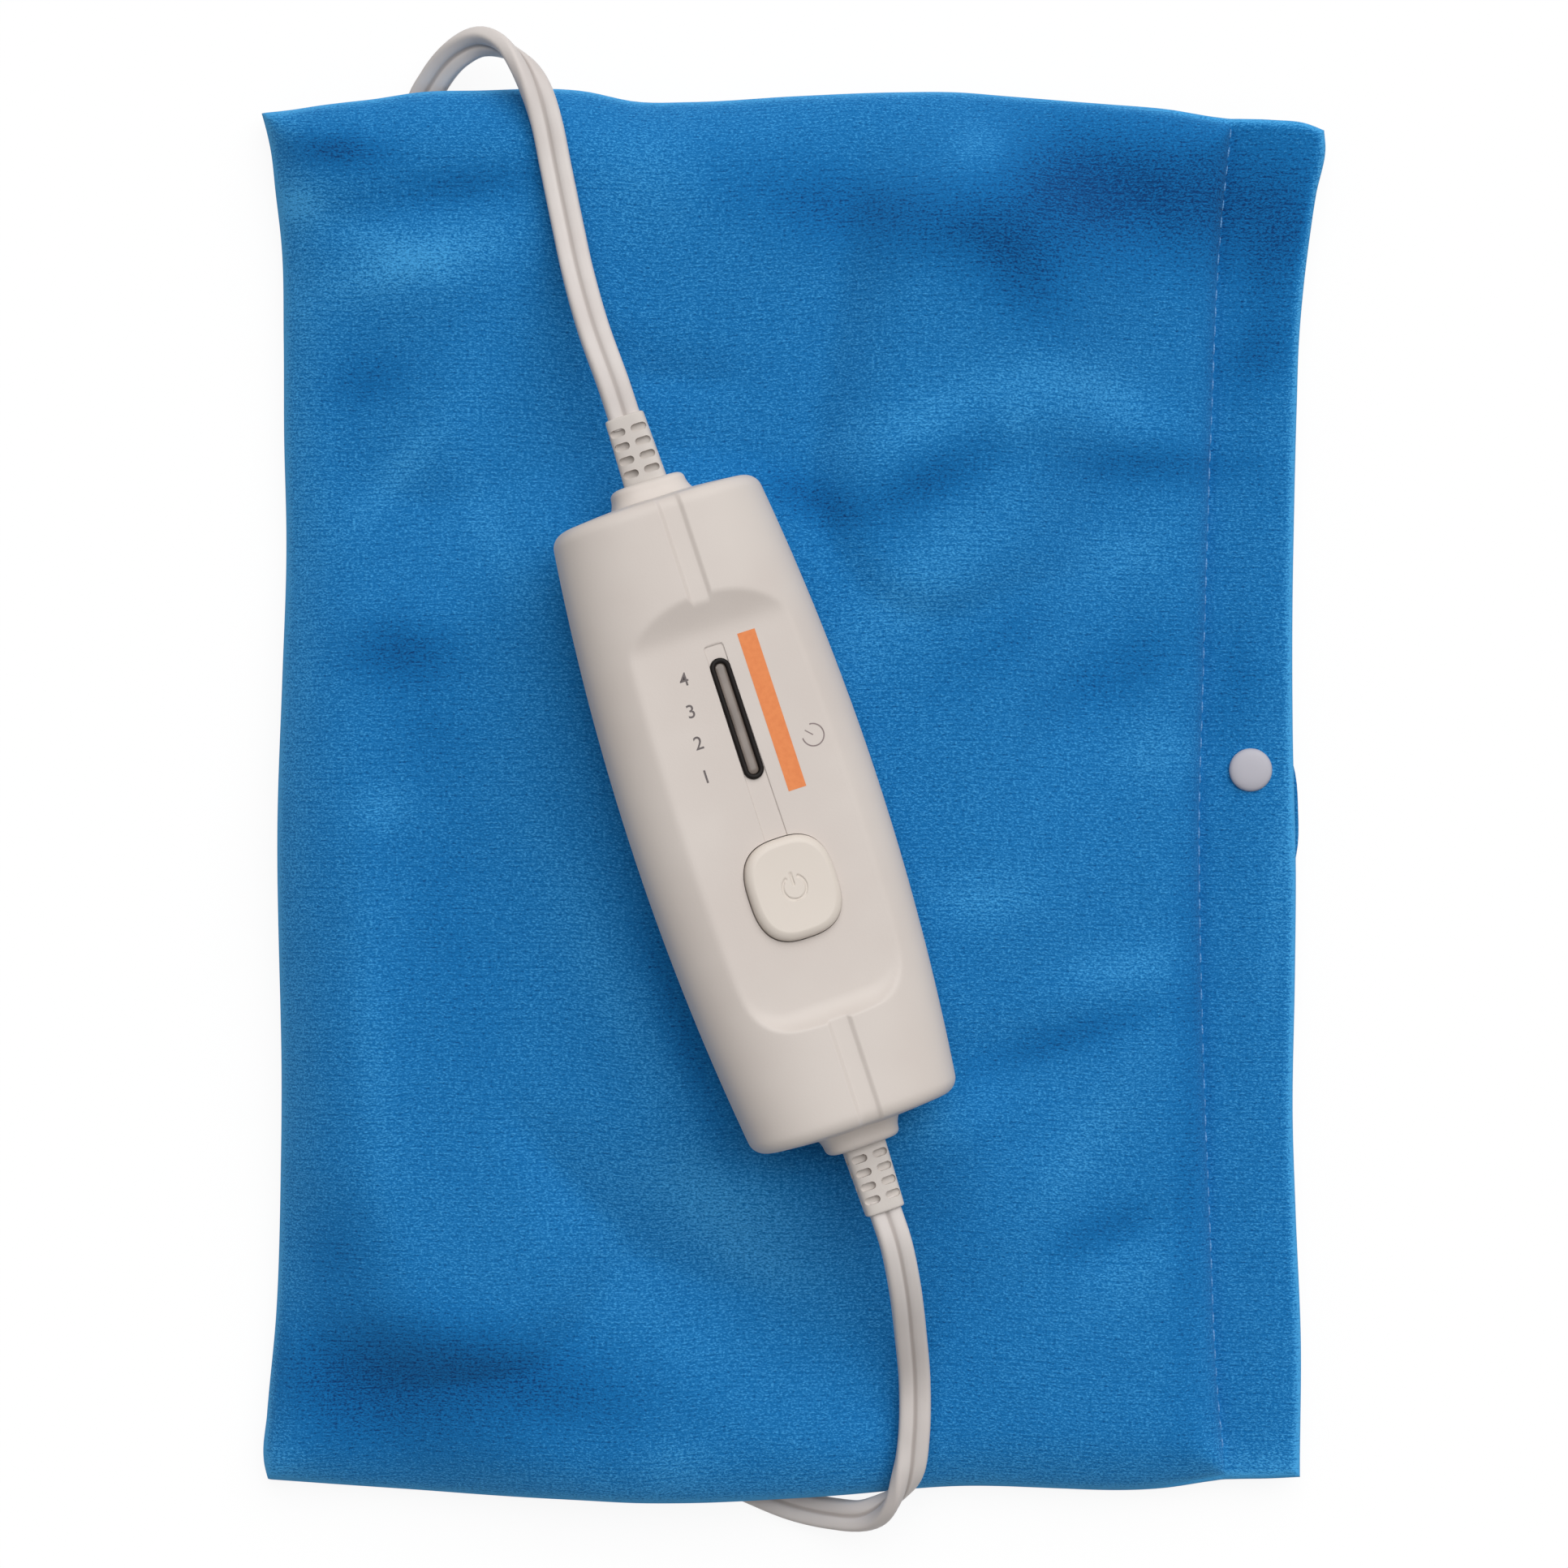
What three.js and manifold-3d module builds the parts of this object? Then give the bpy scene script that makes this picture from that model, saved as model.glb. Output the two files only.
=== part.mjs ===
// Heating pad with hand control: a fabric cover round a sealed heating pad, a hand
// control lying on it, the lead from the control to the pad, and the mains lead.
// Millimetres, +Z up. The origin lies on the resting surface, under the cover's middle.
import * as THREE from "three";
import { mergeVertices } from "three/addons/utils/BufferGeometryUtils.js";
import Module from "manifold-3d";

const wasm = await Module();
wasm.setup();

// Clearance between neighbouring pieces.
const GAP = 0.3;

// Cover: a pocket with drawn-in sides, open along its right-hand hem.
const COVER_HALF_WIDTH = 113;
const COVER_FLARE = 5;
const COVER_HALF_LENGTH = 156;
const COVER_END_BOW = 4.5;
const COVER_CLOTH = 1.6;
const COVER_EDGE_ROUND = 22;
const HEM_WIDTH = 21.5;
const HEM_CLOTH = 2.4;
const MOUTH_HEIGHT = 2.9;
const MOUTH_END_LENGTH = 45;
const HEM_STEPS = 10;

// Sealed pad inside the cover: welded skins round two felts and the heating wire.
const SKIN_INSET = 10;
const SKIN_THICK = 0.8;
const FELT_INSET = 8;
const FELT_THICK = 2.2;
const WIRE_DIAMETER = 1.8;
const WIRE_ROOM = 3.4;
const WIRE_SIDES = 4;
const WIRE_TURN_STEPS = 4;
const WIRE_MARGIN_COLUMNS = 3;
const WIRE_MARGIN_ROWS = 4;
const THERMOSTAT_LENGTH = 14;
const THERMOSTAT_WIDTH = 5;
const THERMOSTAT_THICK = 2.8;
const THERMOSTAT_FROM_STITCH = 27.5;
const THERMOSTAT_FROM_FOOT = [52, 72];

// Panel grid: inner columns and rows between the edge bands.
const PANEL_COLUMNS = 9;
const PANEL_ROWS = 13;

// Press stud that closes the hem.
const SNAP_FROM_STITCH = 10.2;
const SNAP_Y = 5.3;
const SNAP_CAP_RADIUS = 4.8;
const SNAP_CAP_HEIGHT = 1.9;
const SNAP_RIM = 0.6;
const SNAP_DOME = [[0.86, 0.72], [0.5, 0.95], [0.1, 1]];
const SNAP_BACK_RADIUS = 4.2;
const SNAP_BACK_THICK = 0.9;
const SNAP_POST_RADIUS = 1;
const SNAP_STUD_RADIUS = 1.6;
const SNAP_STUD_HEIGHT = 0.9;
const SNAP_BASE_THICK = 0.6;
const SNAP_SOCKET_BORE = 2.5;
const SNAP_SOCKET_ROOF = 0.5;

// Hand control: two half shells, long axis Y, parting plane at Z = 0 in its own frame.
const CONTROL_X = -8.5;
const CONTROL_Y = -4.25;
const CONTROL_TURN_DEG = 18.2;
const CONTROL_ROLL_DEG = 13.3;
const BODY_LENGTH = 140.6;
const BODY_WIDTH_END = 46.4;
const BODY_WIDTH_MID = 55.8;
const BODY_TOP = 15.5;
const BODY_BOTTOM = 13;
const BODY_SQUARENESS = 2.4;
const BODY_END_ROUND = 4;
const BODY_END_BULGE = 1.2;
const BODY_WALL = 2.2;
const BODY_SIDES = 28;
const CAVITY_SIDES = 16;
const RECESS_LENGTH = 96.6;
const RECESS_DEPTH = 2.8;
const RECESS_SLOPE_TOP = 9;
const RECESS_SLOPE_FOOT = 7;
const STRIP_WIDTH = 5;
const STRIP_DEPTH = 0.6;
const STRIP_TOP_Y = 37.6;

// Collars and strain reliefs at the two ends of the control.
const COLLAR_LENGTH = 5;
const COLLAR_WIDTH = 16.5;
const COLLAR_HEIGHT = 12.4;
const COLLAR_FLARE = 1.5;
const COLLAR_EDGE = 0.6;
const COLLAR_SIDES = 16;
const RELIEF_WIDTH = 9.5;
const RELIEF_HEIGHT = 6.2;
const RELIEF_TAPER = 0.45;
const RELIEF_LENGTH = 15;
const RELIEF_FLANGE = 2.2;
const RELIEF_FLANGE_LIP = 2;
const RELIEF_ROWS = 4;
const RELIEF_ROW_PITCH = 3.1;
const RELIEF_SLOT = 1.4;
const RELIEF_SPINE = 1.8;
const RELIEF_SLOT_DEPTH = 1.1;
const RELIEF_SQUARENESS = 4;
const RELIEF_SIDES = 12;

// Power button, light window and what lies under them.
const BUTTON_Y = -17.5;
const BUTTON_WIDTH = 19.7;
const BUTTON_LENGTH = 22;
const BUTTON_SQUARENESS = 3;
const BUTTON_SIDES = 28;
const BUTTON_PROUD = 2;
const BUTTON_EDGE_ROUND = 1.6;
const BUTTON_DISH = 0.5;
const BUTTON_CLEARANCE = 0.4;
const BUTTON_FLANGE = 1.2;
const BUTTON_STEM_RADIUS = 2.5;
const BUTTON_TRAVEL = 1;
const WINDOW_Y = 20.5;
const WINDOW_WIDTH = 4.2;
const WINDOW_LENGTH = 27;
const WINDOW_RIM = 0.8;
const WINDOW_PROUD = 0.3;
const WINDOW_DEPTH = 2.6;
const LENS_SUNK = 0.4;
const BOARD_WIDTH = 25;
const BOARD_LENGTH = 108;
const BOARD_THICK = 1.6;
const BOARD_TOP = -1;
const LED_COUNT = 4;
const LED_PITCH = 6.2;
const LED_WIDTH = 2;
const LED_HEIGHT = 1;
const SWITCH_SIZE = 6.2;
const SWITCH_HEIGHT = 3.6;
const PLUNGER_RADIUS = 1.6;
const PLUNGER_TOP = 4.6;
const PLUNGER_LENGTH = 3.1;
const CHIP_SIZE = [10, 7, 1.4];
const CHIP_AT = [-6, 4];
const TRIAC_SIZE = [10, 4.5, 9];
const TRIAC_AT = [4, -40];
const CAPACITOR_SIZE = [6, 13, 9];
const CAPACITOR_AT = [-7, -38];
const FUSE_RADIUS = 2.6;
const FUSE_LENGTH = 20;
const FUSE_X = 5;
const TAIL_LENGTH = 14;

// Screws that close the shells, and the posts that carry the board.
const SCREW_X = 16.5;
const SCREW_Y = 50;
const SCREW_BOSS_RADIUS = 3.4;
const SCREW_HEAD_RADIUS = 2.4;
const SCREW_HEAD_HEIGHT = 1.8;
const SCREW_SHANK_RADIUS = 1.2;
const SCREW_SEAT_Z = -5.5;
const SCREW_TIP_Z = 6;
const BOARD_POST_RADIUS = 2.2;
const BOARD_POST_X = 8;
const BOARD_POST_Y = 26;

// Flat twin cord, its coil under the pad, and the plug.
const CORD_WIDTH = 7;
const CORD_THICK = 3.5;
const CORD_SETTLE = 0.85;
const CORD_LEVEL_SLOPE = 0.4;
const CORD_FLAT_SHARE = 0.72;
const CORD_EDGE_SHARE = 0.45;
const COIL_FLAT_SHARE = 0.6;
const COIL_X = -27;
const COIL_Y = -8;
const COIL_INNER_RADIUS = 30;
const COIL_STRAND_PITCH = 4.6;
const COIL_TURNS = 2.5;
const COIL_STEPS_PER_TURN = 24;
const COIL_APPROACH = [[1, 70], [0, 45], [0, 20]];
const COIL_LEAVE = [[0.8, 24], [2, 44]];
const TIE_WIDTH = 4;
const TIE_THICK = 1;
const PLUG_LENGTH = 35;
const PLUG_WIDTH = 23;
const PLUG_THICK = 10.5;
const PLUG_SQUARENESS = 3.2;
const PLUG_SIDES = 16;
const BLADE_SPACING = 12.7;
const BLADE_LENGTH = 16.5;
const BLADE_WIDTH = 6.3;
const BLADE_THICK = 1.5;
const PLUG_X = 31;
const PLUG_Y = 60;
const PLUG_TURN_DEG = -10;
const INLET_X = -60;
const INLET_Y = 100;
const INLET_WIDTH = 14;
const INLET_LENGTH = 20;
const INLET_HEIGHT = 3.6;
const INLET_POST_RADIUS = 3;

// Plug profile from the cord to the face: share of its length, width and thickness.
const PLUG_PROFILE = [
  [0, 0.41, 0.61], [0.31, 0.47, 0.69], [0.43, 0.72, 0.86], [0.57, 0.94, 1],
  [0.77, 1, 1], [0.97, 1, 1], [1, 0.93, 0.85],
];

// Steps along each cord, and the shares of its length over which it turns about its own
// route: it turns over at the pad's two ends, and stands on edge in the coil.
const PAD_LEAD_STEPS = 56;
const MAINS_LEAD_STEPS = 50;
const MAINS_TAIL_STEPS = 14;
const PAD_LOOP = { from: 0.2, over: 0.14, turns: 0.5 };
const MAINS_LOOP = { from: 0.2, over: 0.11, turns: -0.5 };
const MAINS_TWIST = { from: 0.67, over: 0.2, turns: 0.25 };
const TAIL_TWIST = { from: 0.25, over: 0.55, turns: 0.25 };

// How far the cover stands off the cords that lie under it, and how it falls away.
const DRAPE_CLEARANCE = 1.3;
const DRAPE_MARGIN = 12;
const DRAPE_FADE = 32;
const COIL_FADE = 45;

// Sizes worked out from the ones above.
const STITCH_X = COVER_HALF_WIDTH - HEM_WIDTH;
const SNAP_X = STITCH_X + SNAP_FROM_STITCH;
const SKIN_ROOM = 2 * (FELT_THICK + GAP) + WIRE_ROOM;
const COVER_ROOM = 2 * (SKIN_THICK + GAP) + SKIN_ROOM;
const LIP_Z = HEM_CLOTH + MOUTH_HEIGHT;
const RECESS_FLOOR = BODY_TOP - RECESS_DEPTH;
const CAVITY_TOP = RECESS_FLOOR - BODY_WALL;
const BODY_HALF = BODY_LENGTH / 2;
const RELIEF_END = BODY_HALF + COLLAR_LENGTH + RELIEF_LENGTH;
const BOARD_SEAT = BOARD_TOP + GAP;
const CORD_FLOOR_Z = CORD_THICK / 2 + GAP;
const COIL_BASE = TIE_THICK + GAP;
const COIL_Z = COIL_BASE + CORD_WIDTH / 2;
const COIL_OUTER_RADIUS = COIL_INNER_RADIUS + 2 * COIL_STRAND_PITCH * COIL_TURNS;
const COIL_LEFT_X = COIL_X - COIL_OUTER_RADIUS;
const COIL_RIGHT_X = COIL_X + COIL_OUTER_RADIUS;
const LIFT_FLAT_CORD = CORD_FLOOR_Z + CORD_THICK / 2 + DRAPE_CLEARANCE;
const LIFT_COIL = COIL_BASE + CORD_WIDTH + DRAPE_CLEARANCE;
const LIFT_PLUG = PLUG_THICK + DRAPE_CLEARANCE;

// Colours, with the roughness of each finish.
function finish(color, roughness, metalness = 0) {
  return new THREE.MeshStandardMaterial({ color, roughness, metalness });
}
const BLUE_CLOTH = finish(0x2f78c4, 0.95);
const IVORY = finish(0xdad1cd, 0.45);
const BUTTON_IVORY = finish(0xded5cb, 0.4);
const CORD_GREY = finish(0xcdc6c4, 0.55);
const CLEAR_SKIN = finish(0xd8d4c4, 0.4);
const FELT = finish(0xe6e2d8, 0.95);
const WIRE_RED = finish(0xb0483a, 0.5);
const BLACK = finish(0x231c1c, 0.35);
const SMOKE = finish(0x787373, 0.15);
const MILKY = finish(0xf0f0ec, 0.4);
const BOARD_GREEN = finish(0x2c6b45, 0.5);
const TIN = finish(0xb9bcc0, 0.3, 0.9);
const SNAP_WHITE = finish(0xcdcad0, 0.35);

const pad = new THREE.Group();
const assembly = new THREE.Group();
assembly.add(pad);

// Solids and booleans.
function outward(geometry) {
  const at = geometry.attributes.position;
  const index = geometry.index.array;
  const a = new THREE.Vector3();
  const b = new THREE.Vector3();
  const c = new THREE.Vector3();
  let volume = 0;
  for (let i = 0; i < index.length; i += 3) {
    a.fromBufferAttribute(at, index[i]);
    b.fromBufferAttribute(at, index[i + 1]);
    c.fromBufferAttribute(at, index[i + 2]);
    volume += a.dot(b.cross(c));
  }
  if (volume < 0) {
    for (let i = 0; i < index.length; i += 3) {
      [index[i + 1], index[i + 2]] = [index[i + 2], index[i + 1]];
    }
  }
  return geometry;
}

function fromTriangles(vertices, triangles) {
  const geometry = new THREE.BufferGeometry();
  geometry.setAttribute("position", new THREE.Float32BufferAttribute(vertices.flat(), 3));
  geometry.setIndex(triangles.flat());
  return outward(geometry);
}

function solid(geometry) {
  const bare = geometry.clone();
  bare.deleteAttribute("normal");
  bare.deleteAttribute("uv");
  const merged = mergeVertices(bare, 1e-4);
  return new wasm.Manifold(new wasm.Mesh({
    numProp: 3,
    vertProperties: new Float32Array(merged.attributes.position.array),
    triVerts: new Uint32Array(merged.index.array),
  }));
}

function geometryOf(manifold) {
  const { vertProperties, triVerts } = manifold.getMesh();
  const geometry = new THREE.BufferGeometry();
  geometry.setAttribute("position", new THREE.BufferAttribute(new Float32Array(vertProperties), 3));
  geometry.setIndex(new THREE.BufferAttribute(new Uint32Array(triVerts), 1));
  return geometry;
}

function addMesh(group, name, geometry, material) {
  const shape = geometry.clone();
  if (!shape.attributes.normal) shape.computeVertexNormals();
  const mesh = new THREE.Mesh(shape, material);
  mesh.name = name;
  group.add(mesh);
  return mesh;
}

function box(x0, x1, y0, y1, z0, z1) {
  const shape = new THREE.BoxGeometry(x1 - x0, y1 - y0, z1 - z0);
  return shape.translate((x0 + x1) / 2, (y0 + y1) / 2, (z0 + z1) / 2);
}

function post(radius, x, y, z0, z1, sides = 12) {
  const shape = new THREE.CylinderGeometry(radius, radius, z1 - z0, sides);
  return shape.rotateX(Math.PI / 2).translate(x, y, (z0 + z1) / 2);
}

// A closed solid through rings of equal point count, capped at both ends.
function loft(rings, bulge = 0) {
  const count = rings[0].length;
  const vertices = rings.flat();
  const triangles = [];
  for (let ring = 0; ring + 1 < rings.length; ring++) {
    for (let i = 0; i < count; i++) {
      const a = ring * count + i;
      const b = ring * count + ((i + 1) % count);
      triangles.push([a, b, b + count], [a, b + count, a + count]);
    }
  }
  const middle = (ring) => [0, 1, 2].map((k) => ring.reduce((sum, p) => sum + p[k], 0) / count);
  const first = middle(rings[0]);
  const last = middle(rings[rings.length - 1]);
  const along = new THREE.Vector3(...last).sub(new THREE.Vector3(...first)).normalize();
  const start = vertices.push(new THREE.Vector3(...first).addScaledVector(along, -bulge).toArray()) - 1;
  const end = vertices.push(new THREE.Vector3(...last).addScaledVector(along, bulge).toArray()) - 1;
  const foot = (rings.length - 1) * count;
  for (let i = 0; i < count; i++) {
    const next = (i + 1) % count;
    triangles.push([start, next, i], [end, foot + i, foot + next]);
  }
  return fromTriangles(vertices, triangles);
}

function superellipse(angle, power) {
  const c = Math.cos(angle);
  const s = Math.sin(angle);
  return [Math.sign(c) * Math.abs(c) ** (2 / power), Math.sign(s) * Math.abs(s) ** (2 / power)];
}

function upright(halfWidth, halfLength, power, y, z, sides) {
  return Array.from({ length: sides }, (_, i) => {
    const [a, b] = superellipse((i / sides) * 2 * Math.PI, power);
    return [halfWidth * a, y + halfLength * b, z];
  });
}

function stadium(width, length, y, z0, z1) {
  const r = width / 2;
  const run = length / 2 - r;
  const shape = new THREE.Shape();
  shape.absarc(0, run, r, 0, Math.PI, false);
  shape.absarc(0, -run, r, Math.PI, 2 * Math.PI, false);
  const settings = { depth: z1 - z0, bevelEnabled: false, curveSegments: 5 };
  return new THREE.ExtrudeGeometry(shape, settings).translate(0, y, z0);
}

// The cord's routes, as points chosen by hand. Where a point's Z is left out the
// cord lies flat on the resting surface, under the pad.
const PAD_LEAD_OVER = [
  [-43.5, 101, 34.5], [-47, 113.2, 29], [-49.7, 125.2, 24], [-52.2, 137.1, 21.4], [-54.5, 148.1, 20.4],
  [-57, 155.5, 19.8], [-60.2, 161.1, 18], [-64.4, 165.3, 15.4], [-69.8, 166.8, 12],
  [-75.4, 164.4, 8.4], [-80.2, 159.4, 4.8],
];
const PAD_LEAD_UNDER = [
  [-83.5, 153], [-80, 143], [-70, 132], [-54, 124], [-34, 119], [-14, 114], [2, 105], [8.5, 91],
  [3, 77], [-12, 69], [-30, 65.6], [-46, 66.4], [-56, 71.6],
];
const MAINS_LEAD_OVER = [
  [24, -106.8, 34.5], [25.5, -118.2, 27], [26.6, -130, 20], [26.5, -141.5, 18], [25.3, -149.7, 16.4],
  [22, -156.6, 13], [16, -160.6, 8.4], [8.6, -160.8, 4.8], [0.4, -159.4, 2.4],
];
const MAINS_LEAD_UNDER = [
  [-7.5, -156.4], [-22, -149.4], [-41, -138], [-58, -122], [-70, -102],
];

function onFloor(points) {
  return points.map(([x, y]) => [x, y, CORD_FLOOR_Z]);
}

// Height of the cover's underside: it stands off what lies under it and falls away round it.
function fallOff(distance) {
  const q = Math.min(Math.max(distance, 0), 1);
  return 0.5 * (1 + Math.cos(Math.PI * q));
}

function distanceToPath(x, y, path) {
  let least = Infinity;
  for (let i = 0; i + 1 < path.length; i++) {
    const [ax, ay] = path[i];
    const [bx, by] = path[i + 1];
    const dx = bx - ax;
    const dy = by - ay;
    const share = ((x - ax) * dx + (y - ay) * dy) / (dx * dx + dy * dy);
    const q = Math.min(Math.max(share, 0), 1);
    least = Math.min(least, Math.hypot(x - ax - q * dx, y - ay - q * dy));
  }
  return least;
}

const plugTurn = THREE.MathUtils.degToRad(PLUG_TURN_DEG);
const plugDirection = [-Math.sin(plugTurn), Math.cos(plugTurn)];
const PLUG_REACH = PLUG_LENGTH + GAP + BLADE_LENGTH;
const plugPath = [
  [PLUG_X, PLUG_Y],
  [PLUG_X + PLUG_REACH * plugDirection[0], PLUG_Y + PLUG_REACH * plugDirection[1]],
];
const coilApproach = COIL_APPROACH.map(([aside, before]) => [COIL_LEFT_X + aside, COIL_Y - before, COIL_Z]);
const edgewiseIn = [MAINS_LEAD_UNDER[MAINS_LEAD_UNDER.length - 1], coilApproach[0], [COIL_LEFT_X, COIL_Y]];
const edgewiseOut = [[COIL_RIGHT_X, COIL_Y], [PLUG_X, PLUG_Y]];
const HUMPS = [
  { path: PAD_LEAD_UNDER.concat([[INLET_X, INLET_Y + INLET_LENGTH / 2]]), lift: LIFT_FLAT_CORD },
  { path: MAINS_LEAD_UNDER, lift: LIFT_FLAT_CORD },
  { path: edgewiseIn, lift: LIFT_COIL },
  { path: edgewiseOut, lift: LIFT_COIL },
  { path: plugPath, lift: LIFT_PLUG },
];

function drapeLift(x, y) {
  const fromCoil = Math.hypot(x - COIL_X, y - COIL_Y) - COIL_OUTER_RADIUS - CORD_THICK - DRAPE_MARGIN / 2;
  const overCoil = LIFT_COIL * fallOff(fromCoil / COIL_FADE);
  const lifts = HUMPS.map(({ path, lift }) => {
    return lift * fallOff((distanceToPath(x, y, path) - DRAPE_MARGIN) / DRAPE_FADE);
  });
  return Math.max(overCoil, ...lifts);
}

// Cover outline: drawn-in sides, bowed ends.
function sideX(t) {
  return COVER_HALF_WIDTH + COVER_FLARE * t ** 4;
}

function endY(x) {
  return COVER_HALF_LENGTH - COVER_END_BOW * (x / COVER_HALF_WIDTH) ** 2;
}

// One grid serves every layer, so that no facet of one layer crosses the next.
function bands(length, inner) {
  const near = [0, SKIN_INSET, SKIN_INSET + FELT_INSET];
  const first = near[2];
  const step = (length - 2 * first) / inner;
  const middle = Array.from({ length: inner - 1 }, (_, i) => first + step * (i + 1));
  return [...near, ...middle, ...near.map((d) => length - d).reverse()].map((d) => d / length);
}

const columns = bands(STITCH_X + COVER_HALF_WIDTH, PANEL_COLUMNS);
const rows = bands(2 * COVER_HALF_LENGTH, PANEL_ROWS).map((q) => 2 * q - 1);
const panelRight = STITCH_X - GAP / 2;

function roundedRamp(distance, width) {
  const q = Math.min(Math.max(distance / width, 0), 1);
  return Math.sqrt(1 - (1 - q) ** 2);
}

function panelPoint(s, t) {
  const left = -sideX(t);
  const x = left + s * (panelRight - left);
  return [x, t * endY(x)];
}

// Share of the full filling height at a point, for the cover and for the sealed pad.
function filling(x, y, inset, mouthShare) {
  const t = Math.min(Math.max(y / endY(x), -1), 1);
  const width = COVER_EDGE_ROUND - inset;
  const left = roundedRamp(x + sideX(t) - inset, width);
  const ends = roundedRamp(endY(x) - Math.abs(y) - inset, width);
  const right = mouthShare + (1 - mouthShare) * roundedRamp(panelRight - x - inset, width);
  const open = mouthShare * (1 - fallOff((x - panelRight + MOUTH_END_LENGTH) / MOUTH_END_LENGTH));
  return Math.max(Math.min(left, ends, right), open);
}

const MOUTH_SHARE = (LIP_Z - COVER_CLOTH - GAP) / COVER_ROOM;
const grid = rows.map((t) => columns.map((s) => {
  const [x, y] = panelPoint(s, t);
  return {
    x,
    y,
    lift: drapeLift(x, y),
    coverDrop: COVER_ROOM * (1 - filling(x, y, 0, MOUTH_SHARE)),
    skinDrop: (SKIN_ROOM - GAP) * (1 - filling(x, y, SKIN_INSET, 0)),
  };
}));

// A sheet of cloth, skin or felt between two heights over part of the grid.
function layer(inset, bottom, top) {
  const part = grid.slice(inset, grid.length - inset).map((row) => row.slice(inset, row.length - inset));
  const high = part.length;
  const wide = part[0].length;
  const vertices = [];
  for (const height of [bottom, top]) {
    for (const row of part) {
      for (const cell of row) vertices.push([cell.x, cell.y, height(cell)]);
    }
  }
  const at = (level, row, column) => level * high * wide + row * wide + column;
  const triangles = [];
  for (let j = 0; j + 1 < high; j++) {
    for (let i = 0; i + 1 < wide; i++) {
      for (const level of [0, 1]) {
        const a = at(level, j, i);
        const b = at(level, j, i + 1);
        const c = at(level, j + 1, i + 1);
        const d = at(level, j + 1, i);
        triangles.push(...(level ? [[a, b, c], [a, c, d]] : [[a, c, b], [a, d, c]]));
      }
    }
  }
  const wall = (j0, i0, j1, i1) => {
    const a = at(0, j0, i0);
    const b = at(0, j1, i1);
    const c = at(1, j1, i1);
    const d = at(1, j0, i0);
    triangles.push([a, b, c], [a, c, d]);
  };
  for (let i = 0; i + 1 < wide; i++) {
    wall(0, i, 0, i + 1);
    wall(high - 1, i + 1, high - 1, i);
  }
  for (let j = 0; j + 1 < high; j++) {
    wall(j + 1, 0, j, 0);
    wall(j, wide - 1, j + 1, wide - 1);
  }
  return fromTriangles(vertices, triangles);
}

const SKIN_BACK_Z = COVER_CLOTH + GAP;
const FELT_BACK_Z = SKIN_BACK_Z + SKIN_THICK + GAP;
const WIRE_Z = FELT_BACK_Z + FELT_THICK;
const FELT_FRONT_Z = WIRE_Z + WIRE_ROOM;
const SKIN_FRONT_Z = FELT_FRONT_Z + FELT_THICK + GAP;
const COVER_FRONT_Z = SKIN_FRONT_Z + SKIN_THICK + GAP;
const PAD_THICK = COVER_FRONT_Z + COVER_CLOTH;

function flatLayer(inset, offset, thick) {
  return layer(inset, (c) => c.lift + offset, (c) => c.lift + offset + thick);
}

function fallingLayer(inset, offset, thick, drop) {
  return layer(inset, (c) => c.lift + offset - c[drop], (c) => c.lift + offset + thick - c[drop]);
}

// The lead's inlet comes up through a hole in the cover's back and in the skin.
const inletHole = solid(post(INLET_POST_RADIUS + GAP, INLET_X, INLET_Y, -GAP, LIFT_FLAT_CORD + FELT_BACK_Z));
const coverBack = solid(flatLayer(0, 0, COVER_CLOTH)).subtract(inletHole);
const skinBack = solid(flatLayer(1, SKIN_BACK_Z, SKIN_THICK)).subtract(inletHole);
addMesh(pad, "cover_back", geometryOf(coverBack), BLUE_CLOTH);
addMesh(pad, "skin_back", geometryOf(skinBack), CLEAR_SKIN);
addMesh(pad, "felt_back", flatLayer(2, FELT_BACK_Z, FELT_THICK), FELT);
addMesh(pad, "felt_front", fallingLayer(2, FELT_FRONT_Z, FELT_THICK, "skinDrop"), FELT);
addMesh(pad, "skin_front", fallingLayer(1, SKIN_FRONT_Z, SKIN_THICK, "skinDrop"), CLEAR_SKIN);
addMesh(pad, "cover_front", fallingLayer(0, COVER_FRONT_Z, COVER_CLOTH, "coverDrop"), BLUE_CLOTH);

// Heating wire: it winds to and fro along the grid's columns, between the felts.
function gridLift(column, row) {
  const i = Math.min(Math.floor(column), columns.length - 2);
  const j = Math.min(Math.floor(row), rows.length - 2);
  const p = column - i;
  const q = row - j;
  const [a, b, c, d] = [grid[j][i], grid[j][i + 1], grid[j + 1][i + 1], grid[j + 1][i]];
  const mix = (key) => {
    if (p >= q) return a[key] + p * (b[key] - a[key]) + q * (c[key] - b[key]);
    return a[key] + q * (d[key] - a[key]) + p * (c[key] - d[key]);
  };
  return [mix("x"), mix("y"), mix("lift")];
}

function wirePath() {
  const firstRow = WIRE_MARGIN_ROWS;
  const lastRow = rows.length - 1 - WIRE_MARGIN_ROWS;
  const firstColumn = WIRE_MARGIN_COLUMNS;
  const lastColumn = columns.length - 1 - WIRE_MARGIN_COLUMNS;
  const points = [];
  for (let column = firstColumn; column <= lastColumn; column++) {
    const up = (column - firstColumn) % 2 === 0;
    for (let row = firstRow; row <= lastRow; row++) {
      points.push(gridLift(column, up ? row : firstRow + lastRow - row));
    }
    if (column === lastColumn) break;
    for (let k = 1; k < WIRE_TURN_STEPS; k++) {
      const angle = (Math.PI * k) / WIRE_TURN_STEPS;
      const beyond = 0.5 * Math.sin(angle) * (up ? 1 : -1);
      const across = column + 0.5 - 0.5 * Math.cos(angle);
      points.push(gridLift(across, (up ? lastRow : firstRow) + beyond));
    }
  }
  return points.map(([x, y, lift]) => new THREE.Vector3(x, y, lift + WIRE_Z + WIRE_ROOM / 2));
}

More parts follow.
